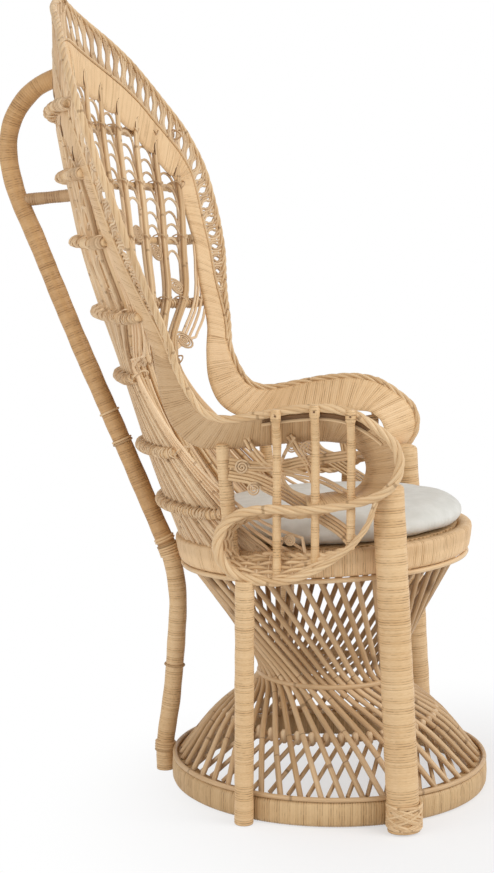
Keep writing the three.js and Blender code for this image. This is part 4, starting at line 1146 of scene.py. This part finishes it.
def outer_cane(side, top, offset):
    """A cane from the seat that leaves the outermost rib and sweeps out into the band."""
    z = np.linspace(RIB_FOOT, top, 40)
    upright = rib_x(RIBS, z) + offset * rib_spread(z)
    edge = np.array([hoop_reach(level) for level in z])
    sweep = easing(z, 0.66, top + 0.02)
    return on_back(side * (upright * (1 - sweep) + edge * sweep), z, 0.003)


sweeping = [outer_cane(side, top, offset) for side in (1, -1) for top, offset in zip(OUTER_TOPS, OUTER_OFFSETS)]
# These canes get the paler finish too: painted light.
dress(canes("back_outer_canes", sweeping, OUTER_CANE, 6), painted_light_cane)

# %% [markdown]
# The band is a flat core wound across with very fine split cane. Its inner edge is not even: between two ribs it
# bows in over the top arch, and at each rib it is drawn back into a notch. A grid along the edge gives all of it.

# %% Band round the fan
WRAP_PITCH, WRAP_FALL = 0.0042, 0.0005
BAND_TURNS = round(EDGE_LENGTH / WRAP_PITCH)
BAND_HALF, BAND_POWER = 0.006, 3.0
NOTCH_DEPTH, BOW_DEPTH = 0.006, 0.011


def share_near(number):
    """Where along the edge a rib runs into the band."""
    spot = on_back(rib_x(number, RIB_TOPS[number]), RIB_TOPS[number])
    gap = np.linalg.norm(BORDER - spot, axis=1) - lace_width(BORDER_SHARES)
    return float(BORDER_SHARES[np.argmin(gap)])


NOTCH_SHARES = sorted(share_near(number) for number in RIB_NUMBERS)


def bow(share):
    """0 at a notch, 1 midway between two."""
    phase = np.interp(share, NOTCH_SHARES, np.arange(len(NOTCH_SHARES)))
    inside = (share > NOTCH_SHARES[0]) & (share < NOTCH_SHARES[-1])
    return np.where(inside, np.abs(np.sin(math.pi * phase)) ** 0.5, 0.3)


def band_place(share, turn):
    across, up = soft_box(turn, 0.5, BAND_HALF, BAND_POWER)
    fall = pinched(share, BAND_TURNS, WRAP_FALL)
    width = band_width(share) - NOTCH_DEPTH + BOW_DEPTH * bow(share)
    inset = lace_width(share) + (across + 0.5) * width
    return in_from_edge(share, inset, up * (1 - fall / BAND_HALF))


band = swept("back_band_wound", 3 * BAND_TURNS, 14, band_place, BAND_TURNS)
dress(band, fine_band, ["back_band"])

# %% [markdown]
# Above each notch the wrapping parts in a crease that lies in shade. Cutting the band open would leave ragged edges,
# so a thin dark sliver of painted shade lies in the surface instead, pointed at its far end, on the front and on the
# back.

# %% Painted shade in the creases where the ribs run into the band
CREASE_WIDTH, CREASE_SWELL = 0.0013, (0.6, 1.0, 1.0, 0.9, 0.7, 0.5, 0.2)
crease_shade = []
for share in NOTCH_SHARES:
    lead = np.linspace(0.0, 1.0, len(CREASE_SWELL))
    inset = lace_width(share) + band_width(share) * (1.0 - 0.55 * lead)
    sway = share + 0.004 * np.sin(math.pi * lead) * (1 if share < 0.5 else -1)
    crease_shade.extend(in_from_edge(sway, inset, face * BAND_HALF * 0.99) for face in (1, -1))
# Painted shade: dark slivers in the creases.
crease_shade_canes = canes("band_crease_shade", crease_shade, CREASE_WIDTH, 4, [CREASE_SWELL] * len(crease_shade))
dress(crease_shade_canes, dark_cane)

# %% [markdown]
# Outside the band runs an open lace: bundles of four strands cross it, gathered in the middle and spread at both
# ends, and they lean away from the tip. A pierced strip with see-through holes would look flat from the side, so
# each strand is a cane. Two canes close the lace on the band's side, and one under the braid.

# %% Lace border
LACE_CELLS, LACE_LEAN, LACE_CANE = 62, 0.70, 0.0029
LACE_RANKS = (-1.5, -0.5, 0.5, 1.5)
STRAND_STEP, OUTER_FLARE, INNER_FLARE = 0.0054, 0.0043, 0.0040
NARROWEST_LACE, TIP_GAP = 0.020, 0.007
LACE_EDGE_CANE, LACE_EDGE_INSET = 0.0027, 0.0115
RIM_SHARES = np.linspace(0.0, 1.0, 500)


def lace_strand(share, rank):
    """One of four strands side by side, which lean away from the tip on their way in to the band."""
    t = np.linspace(0.0, 1.0, 14)
    run = float(lace_width(share)) - 0.010
    flare = OUTER_FLARE * (1 - easing(t, 0.20, 0.40)) + INNER_FLARE * easing(t, 0.62, 0.80)
    lean = LACE_LEAN * run * (t - 0.5 + 0.07 * np.sin(2 * math.pi * t))
    away = -1.0 if share < 0.5 else 1.0
    places = np.clip(share + away * (lean + rank * (STRAND_STEP + flare)) / EDGE_LENGTH, 0.0, 1.0)
    return in_from_edge(places, 0.007 + (lace_width(places) - 0.009) * t, 0.0010 * rank)


strands = []
for share in (np.arange(LACE_CELLS) + 0.5) / LACE_CELLS:
    if lace_width(share) > NARROWEST_LACE and abs(share - 0.5) > TIP_GAP:
        strands.extend(lace_strand(share, rank) for rank in LACE_RANKS)
lace = canes("lace_strands", strands, LACE_CANE, 6)
dress(lace, thin_cane, ["lace_border_left", "lace_border_right"])
lines = [in_from_edge(RIM_SHARES, lace_width(RIM_SHARES) - 0.002, proud) for proud in (-0.003, 0.003)]
lines.append(in_from_edge(RIM_SHARES, np.full(len(RIM_SHARES), LACE_EDGE_INSET), 0.001))
dress(canes("lace_inner_canes", lines, LACE_EDGE_CANE, 6), whole_cane)

# %% [markdown]
# ## Arms
# The band goes on from the fan as an arm: it runs forward and rolls down over the front leg. It is tilted like a
# funnel, its inner edge lower and nearer to the sitter. One line with a tilt would twist where the arm rolls over,
# so two edges are drawn in step, and a grid is swept between them.

# %% Band of an arm
# Outer edge under the braid, and inner edge: x, y, z from the axis
ARM_EDGES = (
    ((0.296, 0.236, 0.790), (0.266, 0.280, 0.790)),
    ((0.287, 0.217, 0.752), (0.250, 0.272, 0.735)),
    ((0.287, 0.197, 0.727), (0.247, 0.250, 0.690)),
    ((0.297, 0.168, 0.716), (0.255, 0.212, 0.664)),
    ((0.311, 0.130, 0.718), (0.261, 0.160, 0.662)),
    ((0.316, 0.090, 0.726), (0.262, 0.100, 0.668)),
    ((0.316, 0.035, 0.735), (0.262, 0.040, 0.675)),
    ((0.316, -0.025, 0.738), (0.262, -0.010, 0.678)),
    ((0.316, -0.070, 0.728), (0.262, -0.032, 0.677)),
)
# The roll over the front leg: plane, centre and radius of each edge, and the turns at which both are set
ROLL_OUTER, ROLL_INNER = (0.316, -0.084, 0.649, 0.0600), (0.262, -0.040, 0.632, 0.0450)
ROLL_TURNS = ((60, 68), (30, 34), (0, 0), (-30, -34), (-60, -68))
ARM_RETURN = (
    ((0.316, -0.062, 0.580), (0.270, -0.028, 0.590)),
    ((0.316, 0.010, 0.569), (0.284, 0.018, 0.584)),
)
NECK_CLIMBS, NECK_INSETS = (0.05, 0.02), (0.0138, 0.0602)


def round_roll(roll, turn):
    """A place on a bend that is given by its plane, centre and radius; turn 0 is its foremost place."""
    x, y, z, radius = roll
    return x, y - radius * math.cos(math.radians(turn)), z + radius * math.sin(math.radians(turn))


def arm_surface(side, count):
    """Both edges of an arm's band, stepped together, and the direction out of its underside."""
    pairs = []
    for climb in NECK_CLIMBS:
        share = np.array(0.5 + side * (0.5 - climb / 2))
        pairs.append([in_from_edge(share, np.array(inset)) for inset in NECK_INSETS])
    rolled = [(round_roll(ROLL_OUTER, a), round_roll(ROLL_INNER, b)) for a, b in ROLL_TURNS]
    for pair in (*ARM_EDGES, *rolled, *ARM_RETURN):
        pairs.append([at(side * x, y, z) for x, y, z in pair])
    rails = smooth(np.array(pairs).reshape(-1, 6), count)
    outer, inner = rails[:, :3], rails[:, 3:]
    return outer, inner, unit(np.cross(np.gradient((outer + inner) / 2, axis=0), inner - outer) * side)


def arm_band_piece(side, name):
    outer, inner, out = arm_surface(side, 900)
    turns = round(length_along((outer + inner) / 2)[-1] / WRAP_PITCH)

    def place(share, turn):
        across, up = soft_box(turn, 0.5, BAND_HALF - 0.0004, BAND_POWER)
        up = up * (1 - pinched(share, turns, WRAP_FALL) / BAND_HALF)
        edge = edge_mix(outer, share)
        in_from_braid = (edge_mix(inner, share) - edge) * (across + 0.5)[:, None]
        return edge + in_from_braid + edge_mix(out, share) * up[:, None]

    return swept(name, 3 * turns, 14, place, turns)


for hand, side in HANDS:
    dress(arm_band_piece(side, f"arm_band_{hand}_wound"), arm_wrap, [f"arm_band_{hand}"])

# %% [markdown]
# On the outside of an arm, a dark recess shows between the braid and the band, with a pale cane along its lower
# side. The recess is a shallow place that light doesn't reach. Three thin dark canes laid close stand for it.

# %% Canes under the rim of an arm
RECESS_PARTS, RECESS_CANE, RECESS_FRONT = (0.06, 0.10, 0.14), 0.0021, -0.100
RIM_PART, RIM_CANE, RIM_FRONT = 0.20, 0.0030, -0.130
RIM_REAR, RIM_LOWEST, RIM_STEPS = 0.090, 0.660, 60
RECESS_SWELL = np.sin(np.linspace(0.1, math.pi - 0.1, RIM_STEPS + 1)) ** 0.5


def under_rim(side, part, lift, front):
    """A line on the underside of the band, a part of its width in from the braid."""
    outer, inner, out = arm_surface(side, 400)
    line = outer + (inner - outer) * part + out * (BAND_HALF + lift)
    y = outer[:, 1] - AXIS_Y
    return evenly(line[(y < RIM_REAR) & (y > front) & (outer[:, 2] > RIM_LOWEST)], RIM_STEPS)


for hand, side in HANDS:
    lines = [under_rim(side, part, -0.0004, RECESS_FRONT) for part in RECESS_PARTS]
    shadow = canes(f"arm_recess_{hand}", lines, RECESS_CANE, 6, [RECESS_SWELL] * len(lines))
    dress(shadow, dark_cane)
    rim_cane = canes(f"arm_rim_cane_{hand}", [under_rim(side, RIM_PART, 0.0006, RIM_FRONT)], RIM_CANE, 6)
    dress(rim_cane, whole_cane)

# %% [markdown]
# One long braid edges the chair: it starts in the lower loop of one arm, runs round the front and over the top of
# that arm, up round the fan to its tip, and down the other side the same way. An arm's part of it is a figure two.
# Its bends are given by centre and radius, because a soft line through a few places would flatten them.

# %% Line of the braid
FRAME_PLANE = 0.320
FRONT_BEND, REAR_BEND = (FRAME_PLANE, -0.084, 0.649, 0.0615), (FRAME_PLANE, 0.108, 0.503, 0.0570)
OVER_ARM = ((0.085, 0.729), (0.035, 0.738), (-0.025, 0.741), (-0.070, 0.731))
LOOP_TOP = ((-0.062, 0.578), (0.005, 0.567), (0.083, 0.566))
LOOP_FOOT = ((0.061, 0.441), (0.018, 0.453), (-0.025, 0.476), (-0.067, 0.509), (-0.093, 0.545), (-0.106, 0.584))
SCROLL_STEPS, BRAID_STEPS = 110, 1800
BRAID_INSET, TIP_LIFT, TIP_SHARE = 0.0045, 0.009, 0.006


def scroll_points(side):
    """The figure two of an arm, in two stretches: over the arm, and round the lower loop."""
    def spots(places):
        return [at(side * FRAME_PLANE, y, z) for y, z in places]

    def bend(roll, turns):
        return spots(round_roll(roll, turn)[1:] for turn in turns)

    over = spots(OVER_ARM) + bend(FRONT_BEND, (60, 30, 0, -30, -60))
    loop = spots(LOOP_TOP) + bend(REAR_BEND, (110, 145, 180, 215, 250)) + spots(LOOP_FOOT)
    return over, loop


def neck_points(side):
    """Along the outer edge of an arm's band, from the neck to where the scroll leaves it."""
    outer, inner, _ = arm_surface(side, 240)
    along_neck = (outer[:, 2] < NECK - 0.010) & (outer[:, 1] - AXIS_Y > 0.110)
    return (outer + unit(outer - inner) * 0.004)[along_neck][::6]


def scroll_route(side, count):
    over, loop = scroll_points(side)
    return smooth(over + loop, count)


half = [np.vstack([neck_points(side), scroll_route(side, SCROLL_STEPS)]) for side in (-1, 1)]
over_fan = in_from_edge(RIM_SHARES, np.full(len(RIM_SHARES), BRAID_INSET))
over_fan[:, 2] += TIP_LIFT * np.exp(-((RIM_SHARES - 0.5) / TIP_SHARE) ** 2)
braid_line = smooth(np.vstack([half[0][::-1], over_fan[4:-4:3], half[1]]), BRAID_STEPS)
BRAID_LENGTH = length_along(braid_line)[-1]
print(f"braid: {BRAID_LENGTH:.2f} m")

# %% [markdown]
# Four strands wind slowly round that line. They are wound as one rope, so that the pattern runs on without a break,
# and are then cut at the arms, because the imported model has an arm's scroll as a node of its own. The braid is
# thickest at the rear of the lower loop, and thin where it rises to the front leg.

# %% Braid of long strands
BRAID_STRANDS, BRAID_PITCH, BRAID_SPREAD, BRAID_CANE = 4, 0.105, 0.0036, 0.0031
steps = np.arange(BRAID_STEPS + 1)
from_end = np.minimum(steps, BRAID_STEPS - steps) / BRAID_STEPS * BRAID_LENGTH
BRAID_SWELL = np.interp(
    from_end,
    (0.00, 0.08, 0.23, 0.37, 0.49, 0.63, 0.75, 0.87, 1.10, 1.30),
    (0.75, 0.85, 1.20, 1.55, 1.30, 1.15, 1.40, 1.20, 1.10, 1.00),
)
braid_strands = twisted(braid_line, BRAID_STRANDS, BRAID_SPREAD * BRAID_SWELL, BRAID_PITCH, 16)
last = len(braid_strands[0]) - 1
arm_starts = [np.argmin(np.linalg.norm(braid_line - arm[-SCROLL_STEPS - 1], axis=1)) for arm in half]
cuts = [0] + [round(int(k) / BRAID_STEPS * last) for k in arm_starts] + [last]
swell = np.interp(np.linspace(0, BRAID_STEPS, last + 1), steps, BRAID_SWELL)
for part, (name, nodes) in enumerate((
    ("scroll_right", ["arm_frame_right"]),
    ("fan_rim", []),
    ("scroll_left", ["arm_frame_left"]),
)):
    run = slice(cuts[part], cuts[part + 1] + 1)
    braid = canes(name, [strand[run] for strand in braid_strands], BRAID_CANE, 8, [swell[run]] * BRAID_STRANDS)
    dress(braid, whole_cane, nodes)

# %% [markdown]
# The lower loop of each scroll has a woven floor, a shallow funnel from the loop in to the seat. Strands follow the
# loop and go over and under short stakes. One flat sheet with a weave in its finish would look painted where the
# photograph shows single strands, so the strands are canes with a wave across the sheet.

# %% Woven floor of the lower loop
LOOP_STEPS, WEFT_STRANDS, WOVEN_RUN = 300, 6, slice(14, 262)
STAKES, STAKE_STEP = range(27, 250, 11), 11
WEFT_CANE, STAKE_CANE, LIP_CANE = 0.0036, 0.0022, 0.0031
FLOOR_DEPTH, FLOOR_WAVE = 0.036, 0.0030
LIP_SPREAD, LIP_PITCH = 0.0028, 0.04


def woven_floor(side):
    outer = smooth(scroll_points(side)[1], LOOP_STEPS)
    ahead = unit(np.gradient(outer, axis=0))
    inside = np.stack([np.zeros(len(outer)), ahead[:, 2], -ahead[:, 1]], 1)
    share = np.linspace(0, 1, len(outer))
    depth = easing(share, 0.0, 0.16) * (1 - easing(share, 0.62, 0.88))
    rise = 0.016 + 0.026 * easing(share, 0.45, 0.62)
    inner = outer + inside * (rise * depth)[:, None]
    inner[:, 0] -= side * FLOOR_DEPTH * depth
    across = inner - outer
    normal = np.cross(ahead, across)
    normal /= np.maximum(np.linalg.norm(normal, axis=1), 1e-9)[:, None]
    weft = []
    for rank in range(1, WEFT_STRANDS + 1):
        wave = FLOOR_WAVE * np.sin(np.arange(len(outer)) * math.pi / STAKE_STEP + math.pi * rank) * depth
        weft.append((outer + across * rank / WEFT_STRANDS + normal * wave[:, None])[WOVEN_RUN])
    return weft, [evenly([outer[k], inner[k]], 4) for k in STAKES], inner[WOVEN_RUN]


for hand, side in HANDS:
    weft, stakes, lip = woven_floor(side)
    dress(canes(f"loop_weave_{hand}", weft, WEFT_CANE, 6), whole_cane)
    dress(canes(f"loop_stakes_{hand}", stakes, STAKE_CANE, 4), thin_cane)
    dress(canes(f"loop_lip_{hand}", twisted(lip, 2, LIP_SPREAD, LIP_PITCH), LIP_CANE, 6), whole_cane)

# %% [markdown]
# Three wound bars cross each scroll. They stand behind the braid, and their tops come forward and are nailed on
# outside it, under a cap of a few more turns. Where a bar stands, the braid's own line says how high it must reach.

# %% Bars with their caps and nail heads
BARS, BAR_RADIUS, BAR_PITCH = (0.064, -0.002, -0.063), 0.0076, 0.0048
BAR_BEHIND, BAR_AHEAD = 0.0130, 0.0070
BAR_OVER, BAR_UNDER, BAR_STEM, BAR_TIP = 0.004, 0.0075, 0.055, 0.018
CAP_DROPS, CAP_SWELL, CAP_RADIUS, CAP_TURNS = (0.020, 0.017, 0.004, -0.002), (0.84, 1.0, 1.0, 0.7), 0.0092, 5
NAIL_STEPS, NAIL_SWELL, NAIL_RADIUS = (0.0, 0.0014, 0.0024), (1.0, 0.9, 0.4), 0.0021


def bar_route(side, y):
    line = scroll_route(side, 800)
    off = line[:, 1] - AXIS_Y - y
    heights = line[:-1][off[:-1] * off[1:] <= 0][:, 2]
    behind, ahead = side * (FRAME_PLANE - BAR_BEHIND), side * (FRAME_PLANE + BAR_AHEAD)
    top = heights.max() + BAR_OVER
    stem = [at(behind, y, heights.min() - BAR_UNDER), at(behind, y, top - BAR_STEM)]
    return bent(stem + [at(ahead, y, top - BAR_TIP), at(ahead, y, top)], BAR_TIP)


def bar_pieces(hand, side):
    bars = [bar_route(side, y) for y in BARS]
    stand = wound(f"arm_bars_{hand}", bars, BAR_RADIUS, BAR_PITCH, 10, round_ends=(0.004, 0.006))
    dress(stand, wound_cane, [f"arm_bar_{hand}_{k}" for k in (1, 2, 3)])
    caps = [np.array([bar[-1] - (0, 0, drop) for drop in CAP_DROPS]) for bar in bars]
    turns = [CAP_TURNS] * len(bars)
    cap_piece = canes(f"bar_caps_{hand}", caps, CAP_RADIUS, 10, [CAP_SWELL] * len(bars), counts=turns)
    dress(cap_piece, wound_cane)
    heads = []
    for bar in bars:
        for spot, out in ((bar[-1] - (0, 0, 0.009), 0.0088), (bar[0] + (0, 0, 0.014), 0.0070)):
            heads.append(np.array([spot + (side * (out + more), 0, 0) for more in NAIL_STEPS]))
    nails = canes(f"arm_nails_{hand}", heads, NAIL_RADIUS, 8, [NAIL_SWELL] * len(heads))
    dress(nails, dark_cane)


print("heights of the bars:", [round(float(np.ptp(bar_route(1, y)[:, 2])), 3) for y in BARS])


# %% [markdown]
# At the rear of each arm a wound post stands on the seat ring and carries the band. Its foot lies against the
# outside of the ring, so its place follows from the ring's radius.

# %% Rear posts, made with the bars
POST_RADIUS, POST_PITCH, POST_OFF_RING, POST_RISE = 0.013, 0.0050, 0.0133, 0.008
POST_REACH = SEAT_MIDDLE + SEAT_HALF_WIDTH + POST_OFF_RING
POST_FOOT_Y, POST_TOP = 0.145, (0.270, 0.164, 0.674)

for hand, side in HANDS:
    bar_pieces(hand, side)
    foot_x = math.sqrt(POST_REACH ** 2 - (POST_FOOT_Y - SEAT_BACK) ** 2)
    foot = at(side * foot_x, POST_FOOT_Y, seat_top_at(POST_FOOT_Y) - SEAT_RING_HEIGHT + POST_RISE)
    post_line = np.array([foot, at(side * POST_TOP[0], *POST_TOP[1:])])
    post = wound(f"arm_post_{hand}_wound", [post_line], POST_RADIUS, POST_PITCH, 12, round_ends=(0, 0.006))
    dress(post, wound_cane, [f"arm_post_{hand}"])

# %% [markdown]
# Behind the bars, bundles of bent canes with snail coils fill the side above the seat. They lie in one upright plane,
# so a bundle is one drawn line, repeated beside itself, and the coils are the fan's own with fewer turns.

# %% Canes and coils of the side panel
ARM_PLANE, PANEL_CANE, PANEL_COIL_CANE = 0.285, 0.0030, 0.0018
# Each bundle: how many canes, how far apart, and its way through the panel as y, z
PANEL_BUNDLES = (
    (4, 0.0062, ((-0.066, 0.506), (-0.048, 0.526), (0.000, 0.557), (0.050, 0.588), (0.102, 0.613), (0.150, 0.622))),
    (3, 0.0060, ((0.150, 0.641), (0.112, 0.636), (0.060, 0.636), (0.029, 0.644), (-0.009, 0.650), (-0.070, 0.660))),
    (2, 0.0066, ((0.120, 0.684), (0.106, 0.660), (0.083, 0.636), (0.048, 0.626), (-0.010, 0.614), (-0.060, 0.588))),
    (1, 0.0000, ((0.036, 0.688), (0.056, 0.652), (0.060, 0.626), (0.044, 0.597), (0.014, 0.584))),
    (2, 0.0062, ((0.046, 0.690), (0.030, 0.664), (0.012, 0.638), (0.000, 0.600), (-0.004, 0.572))),
)
# Each coil: foot of its stalk and middle as y, z, the way it turns, and its radius
PANEL_COILS = (
    ((0.070, 0.634), (0.127, 0.634), 1, 0.0150), ((0.062, 0.580), (0.106, 0.596), 1, 0.0145),
    ((0.004, 0.628), (0.010, 0.667), -1, 0.0170), ((0.070, 0.480), (0.044, 0.508), -1, 0.0125),
)


def panel_routes(side):
    routes = []
    for count, apart, way in PANEL_BUNDLES:
        line = smooth([at(side * ARM_PLANE, y, z) for y, z in way], 30)
        aside = np.cross(unit(np.gradient(line, axis=0)), [side, 0, 0])
        routes.extend(line + aside * apart * (k - (count - 1) / 2) for k in range(count))
    return routes


def panel_coils(side):
    def to_place(y, z):
        return np.stack(np.broadcast_arrays(side * (ARM_PLANE + 0.004), y + AXIS_Y, z), -1)

    for stalk, centre, turn, size in PANEL_COILS:
        yield snail(to_place, np.array(stalk), centre, turn, 2.6, size, 0.002)


for hand, side in HANDS:
    panel_canes = canes(f"arm_panel_{hand}_canes", panel_routes(side), PANEL_CANE)
    dress(panel_canes, whole_cane, [f"arm_panel_{hand}"])
    dress(canes(f"arm_panel_{hand}_coils", list(panel_coils(side)), PANEL_COIL_CANE, 6), thin_cane)

# %% [markdown]
# ## Cushion
# The cushion is a round of canvas over soft filling. A flattened sphere would have a thin rim, so it starts as a
# turned shape: a profile from the middle of the underside round the rim to the middle of the crown, swept once
# round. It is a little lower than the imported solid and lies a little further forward, as in the photograph.

# %% Turned shape
CUSHION_RADIUS, CUSHION_CROWN, CUSHION_FORWARD = 0.259, 0.057, 0.014
SMALLER_RADIUS, SMALLER_CROWN, OFF_THE_SEAT = 0.005, 0.004, 0.0012
PROFILE = np.array([
    [0.0, 0.0], [0.86, 0.0], [0.95, 0.07], [0.985, 0.22], [1.0, 0.40], [0.99, 0.56], [0.95, 0.72], [0.87, 0.85],
    [0.66, 0.95], [0.35, 0.99], [0.0, 1.0],
])
PROFILE_RUN = length_along(PROFILE * (CUSHION_RADIUS, CUSHION_CROWN))


def cushion_place(share, turn):
    wanted = turn * PROFILE_RUN[-1]
    radius = np.interp(wanted, PROFILE_RUN, PROFILE[:, 0]) * (CUSHION_RADIUS - SMALLER_RADIUS)
    height = np.interp(wanted, PROFILE_RUN, PROFILE[:, 1]) * (CUSHION_CROWN - SMALLER_CROWN) + OFF_THE_SEAT
    angle = 2 * math.pi * share
    return on_seat(-radius * np.sin(angle), -radius * np.cos(angle) - CUSHION_FORWARD, height)


cushion = swept("cushion_canvas", 96, 48, cushion_place, 1)
print(f"cushion before it is blown up: {len(cushion.data.polygons)} faces")

# %% [markdown]
# Real filling pushes the canvas out until its threads are tight. That could be sculpted, but cloth finds the shape
# by itself: it is remeshed evenly and blown up for twenty frames, without gravity. No point may move further than
# a few millimetres, and the underside is kept flat, because it lies on the seat. Then the mesh is softened and
# subdivided once.

# %% Blown up as cloth
MOST_MOVE, LOWEST = 0.005, 0.0008
VOXEL, PRESSURE, STIFFNESS, FRAMES = 0.006, 4.0, 25.0, 20

only(cushion)
remesh = cushion.modifiers.new("even", "REMESH")
remesh.mode = "VOXEL"
remesh.voxel_size = VOXEL
bpy.ops.object.modifier_apply(modifier="even")
before = rows(cushion.data.vertices, "co", 3)
cloth = cushion.modifiers.new("canvas", "CLOTH")
cloth.settings.use_pressure = True
cloth.settings.uniform_pressure_force = PRESSURE
cloth.settings.effector_weights.gravity = 0.0
cloth.settings.tension_stiffness = STIFFNESS
cloth.settings.compression_stiffness = STIFFNESS
for step in range(1, FRAMES + 1):
    bpy.context.scene.frame_set(step)
only(cushion)
bpy.ops.object.modifier_apply(modifier="canvas")
bpy.context.scene.frame_set(1)
move = rows(cushion.data.vertices, "co", 3) - before
far = np.linalg.norm(move, axis=1)
after = before + move * np.minimum(1.0, MOST_MOVE / np.maximum(far, 1e-9))[:, None]
seat_up = np.array([0.0, math.sin(SEAT_LEAN), math.cos(SEAT_LEAN)])
lift = (after - on_seat(0.0, 0.0, 0.0)) @ seat_up
after += seat_up * np.maximum(LOWEST - lift, 0.0)[:, None]
cushion.data.vertices.foreach_set("co", after.ravel())
only(cushion)
soften = cushion.modifiers.new("soften", "SMOOTH")
soften.factor = 0.5
soften.iterations = 6
bpy.ops.object.modifier_apply(modifier="soften")
fuller = cushion.modifiers.new("fuller", "SUBSURF")
fuller.levels = fuller.render_levels = 1
bpy.ops.object.modifier_apply(modifier="fuller")
bpy.ops.object.shade_smooth()
print(f"canvas moved {far.max() * 1000:.1f} mm at most before the cap")

# %% [markdown]
# The cover is off-white cotton canvas. Its threads are too fine to see one by one, so two crossed waves give only a
# faint bump, noise gives the slubs in the yarn, and a little sheen stands for the fuzz on it.

# %% Canvas
THREAD_FINENESS = 5200.0


def canvas_finish():
    material, tree, shader = new_finish("canvas")
    spot = object_spot(tree)
    slub = add(tree, "ShaderNodeTexNoise", Vector=spot, Scale=38.0, Detail=4.0).outputs[0]
    weave = calc(tree, "ADD", *crossed_threads(tree, spot, THREAD_FINENESS))
    threads = calc(tree, "MULTIPLY_ADD", slub, 1.2, weave)
    color = blend(tree, ramp(tree, slub, 0.3, 0.75), tone(211, 209, 201), tone(222, 220, 213))
    set_surface(tree, shader, color, calc(tree, "MULTIPLY_ADD", slub, 0.15, 0.78), threads, 0.25, 0.0004)
    shader.inputs["Sheen Weight"].default_value = 0.15
    return material


dress(cushion, canvas_finish(), ["cushion"], body="seat_cushion")

# %% [markdown]
# ## Floor, light and camera
# The chair stands on pale paper that fades into white. More light would bleach the chair as well, so the white is
# a glow that only the camera and reflections see. Near the feet it is mixed half and half with the lit floor, which
# keeps the shadow.

# %% Floor
WHITE = (1, 1, 1, 1)
FADE_START, FADE_END, LEAST_WHITE = 0.30, 0.95, 0.52


def seen_directly(tree):
    rays = add(tree, "ShaderNodeLightPath").outputs
    return calc(tree, "MAXIMUM", rays["Is Camera Ray"], rays["Is Glossy Ray"])


def mix_into(tree, share, first, second, output):
    mixed = add(tree, "ShaderNodeMixShader", Fac=share)
    for number, shader in ((1, first), (2, second)):
        tree.links.new(shader.outputs[0], mixed.inputs[number])
    tree.links.new(mixed.outputs[0], tree.nodes[output].inputs["Surface"])


def floor_finish():
    material, tree, shader = new_finish("pale_floor")
    shader.inputs["Base Color"].default_value = (0.88, 0.88, 0.89, 1)
    shader.inputs["Roughness"].default_value = 0.9
    shader.inputs["Specular IOR Level"].default_value = 0.1
    reach = add(tree, "ShaderNodeVectorMath", {"operation": "DISTANCE"})
    feed(tree, reach.inputs[0], object_spot(tree))
    reach.inputs[1].default_value = (-0.15, AXIS_Y - 0.40, 0.0)
    white = add(tree, "ShaderNodeEmission", Color=WHITE, Strength=1.0)
    fade = ramp(tree, reach.outputs["Value"], FADE_START, FADE_END)
    away = calc(tree, "MULTIPLY_ADD", fade, 1 - LEAST_WHITE, LEAST_WHITE)
    mix_into(tree, calc(tree, "MULTIPLY", away, seen_directly(tree)), shader, white, "Material Output")
    return material


bpy.ops.object.select_all(action="DESELECT")
bpy.ops.mesh.primitive_plane_add(size=40, location=(0, 0, 0))
floor = bpy.context.object
floor.name = "floor"
floor.data.materials.append(floor_finish())
floor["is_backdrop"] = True
print("floor:", [round(side, 1) for side in floor.dimensions])

# %% [markdown]
# An even sky lights every side a little, as white studio walls do. A picture of a studio could do that too, but
# cane is too dull to mirror it. The camera sees the sky as plain white.

# %% Sky
SKY_LIGHT = 0.55
world = bpy.data.worlds.new("studio")
bpy.context.scene.world = world
world.use_nodes = True
sky = world.node_tree
even_light = sky.nodes["Background"]
even_light.inputs["Color"].default_value = WHITE
even_light.inputs["Strength"].default_value = SKY_LIGHT
backdrop = add(sky, "ShaderNodeBackground", Color=WHITE, Strength=1.0)
mix_into(sky, seen_directly(sky), even_light, backdrop, "World Output")
print(f"sky: {SKY_LIGHT} of full light")

# %% [markdown]
# Two large area lamps shape the canes: a strong one high in front of the chair, and a weak one low behind it on the
# camera's side, which lights the pole and the back. Small lamps would cast hard shadows that the photo doesn't have.

# %% Lamps
def lamp(name, place, target, size, power):
    light = bpy.data.lights.new(name, "AREA")
    light.size = size
    light.energy = power
    holder = bpy.data.objects.new(name, light)
    bpy.context.scene.collection.objects.link(holder)
    holder.location = place
    x, y, z = unit(np.array(target) - np.array(place))
    holder.rotation_euler = (math.acos(-z), 0, math.atan2(y, x) - math.pi / 2)
    print(f"{name}: {power} W")


lamp("high_lamp", place=(-1.2, -3.0, 2.9), target=(0, 0, 0.6), size=2.6, power=85)
lamp("side_lamp", place=(-2.6, 2.0, 1.1), target=(0, 0.2, 0.5), size=2.0, power=32)

# %% [markdown]
# The camera stands to the sitter's right, a little in front, and looks down slightly. Its place and lens come from
# fitting the round base and seat rings to the photograph, where they are ellipses.

# %% Camera
LENS = 70.89
CAMERA_PLACE = (-3.192, -0.290 + AXIS_Y, 1.040)
CAMERA_VIEW = mathutils.Vector((0.9832, 0.1382, -0.1194))
camera_data = bpy.data.cameras.new("camera")
camera_data.lens = LENS
camera = bpy.data.objects.new("camera", camera_data)
bpy.context.scene.collection.objects.link(camera)
camera.location = CAMERA_PLACE
camera.rotation_euler = CAMERA_VIEW.to_track_quat("-Z", "Y").to_euler()
bpy.context.scene.camera = camera
bpy.context.scene.view_settings.view_transform = "Standard"
print(f"camera: lens {camera_data.lens:.1f} mm")

# %% [markdown]
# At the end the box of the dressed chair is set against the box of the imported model, because canes and canvas may
# stand out from it only a little.

# %% Sizes, and the end
visual_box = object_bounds()
for label, box in (("CAD", cad_box), ("visual", visual_box)):
    print(label, "box", [[round(v, 3) for v in c] for c in box])
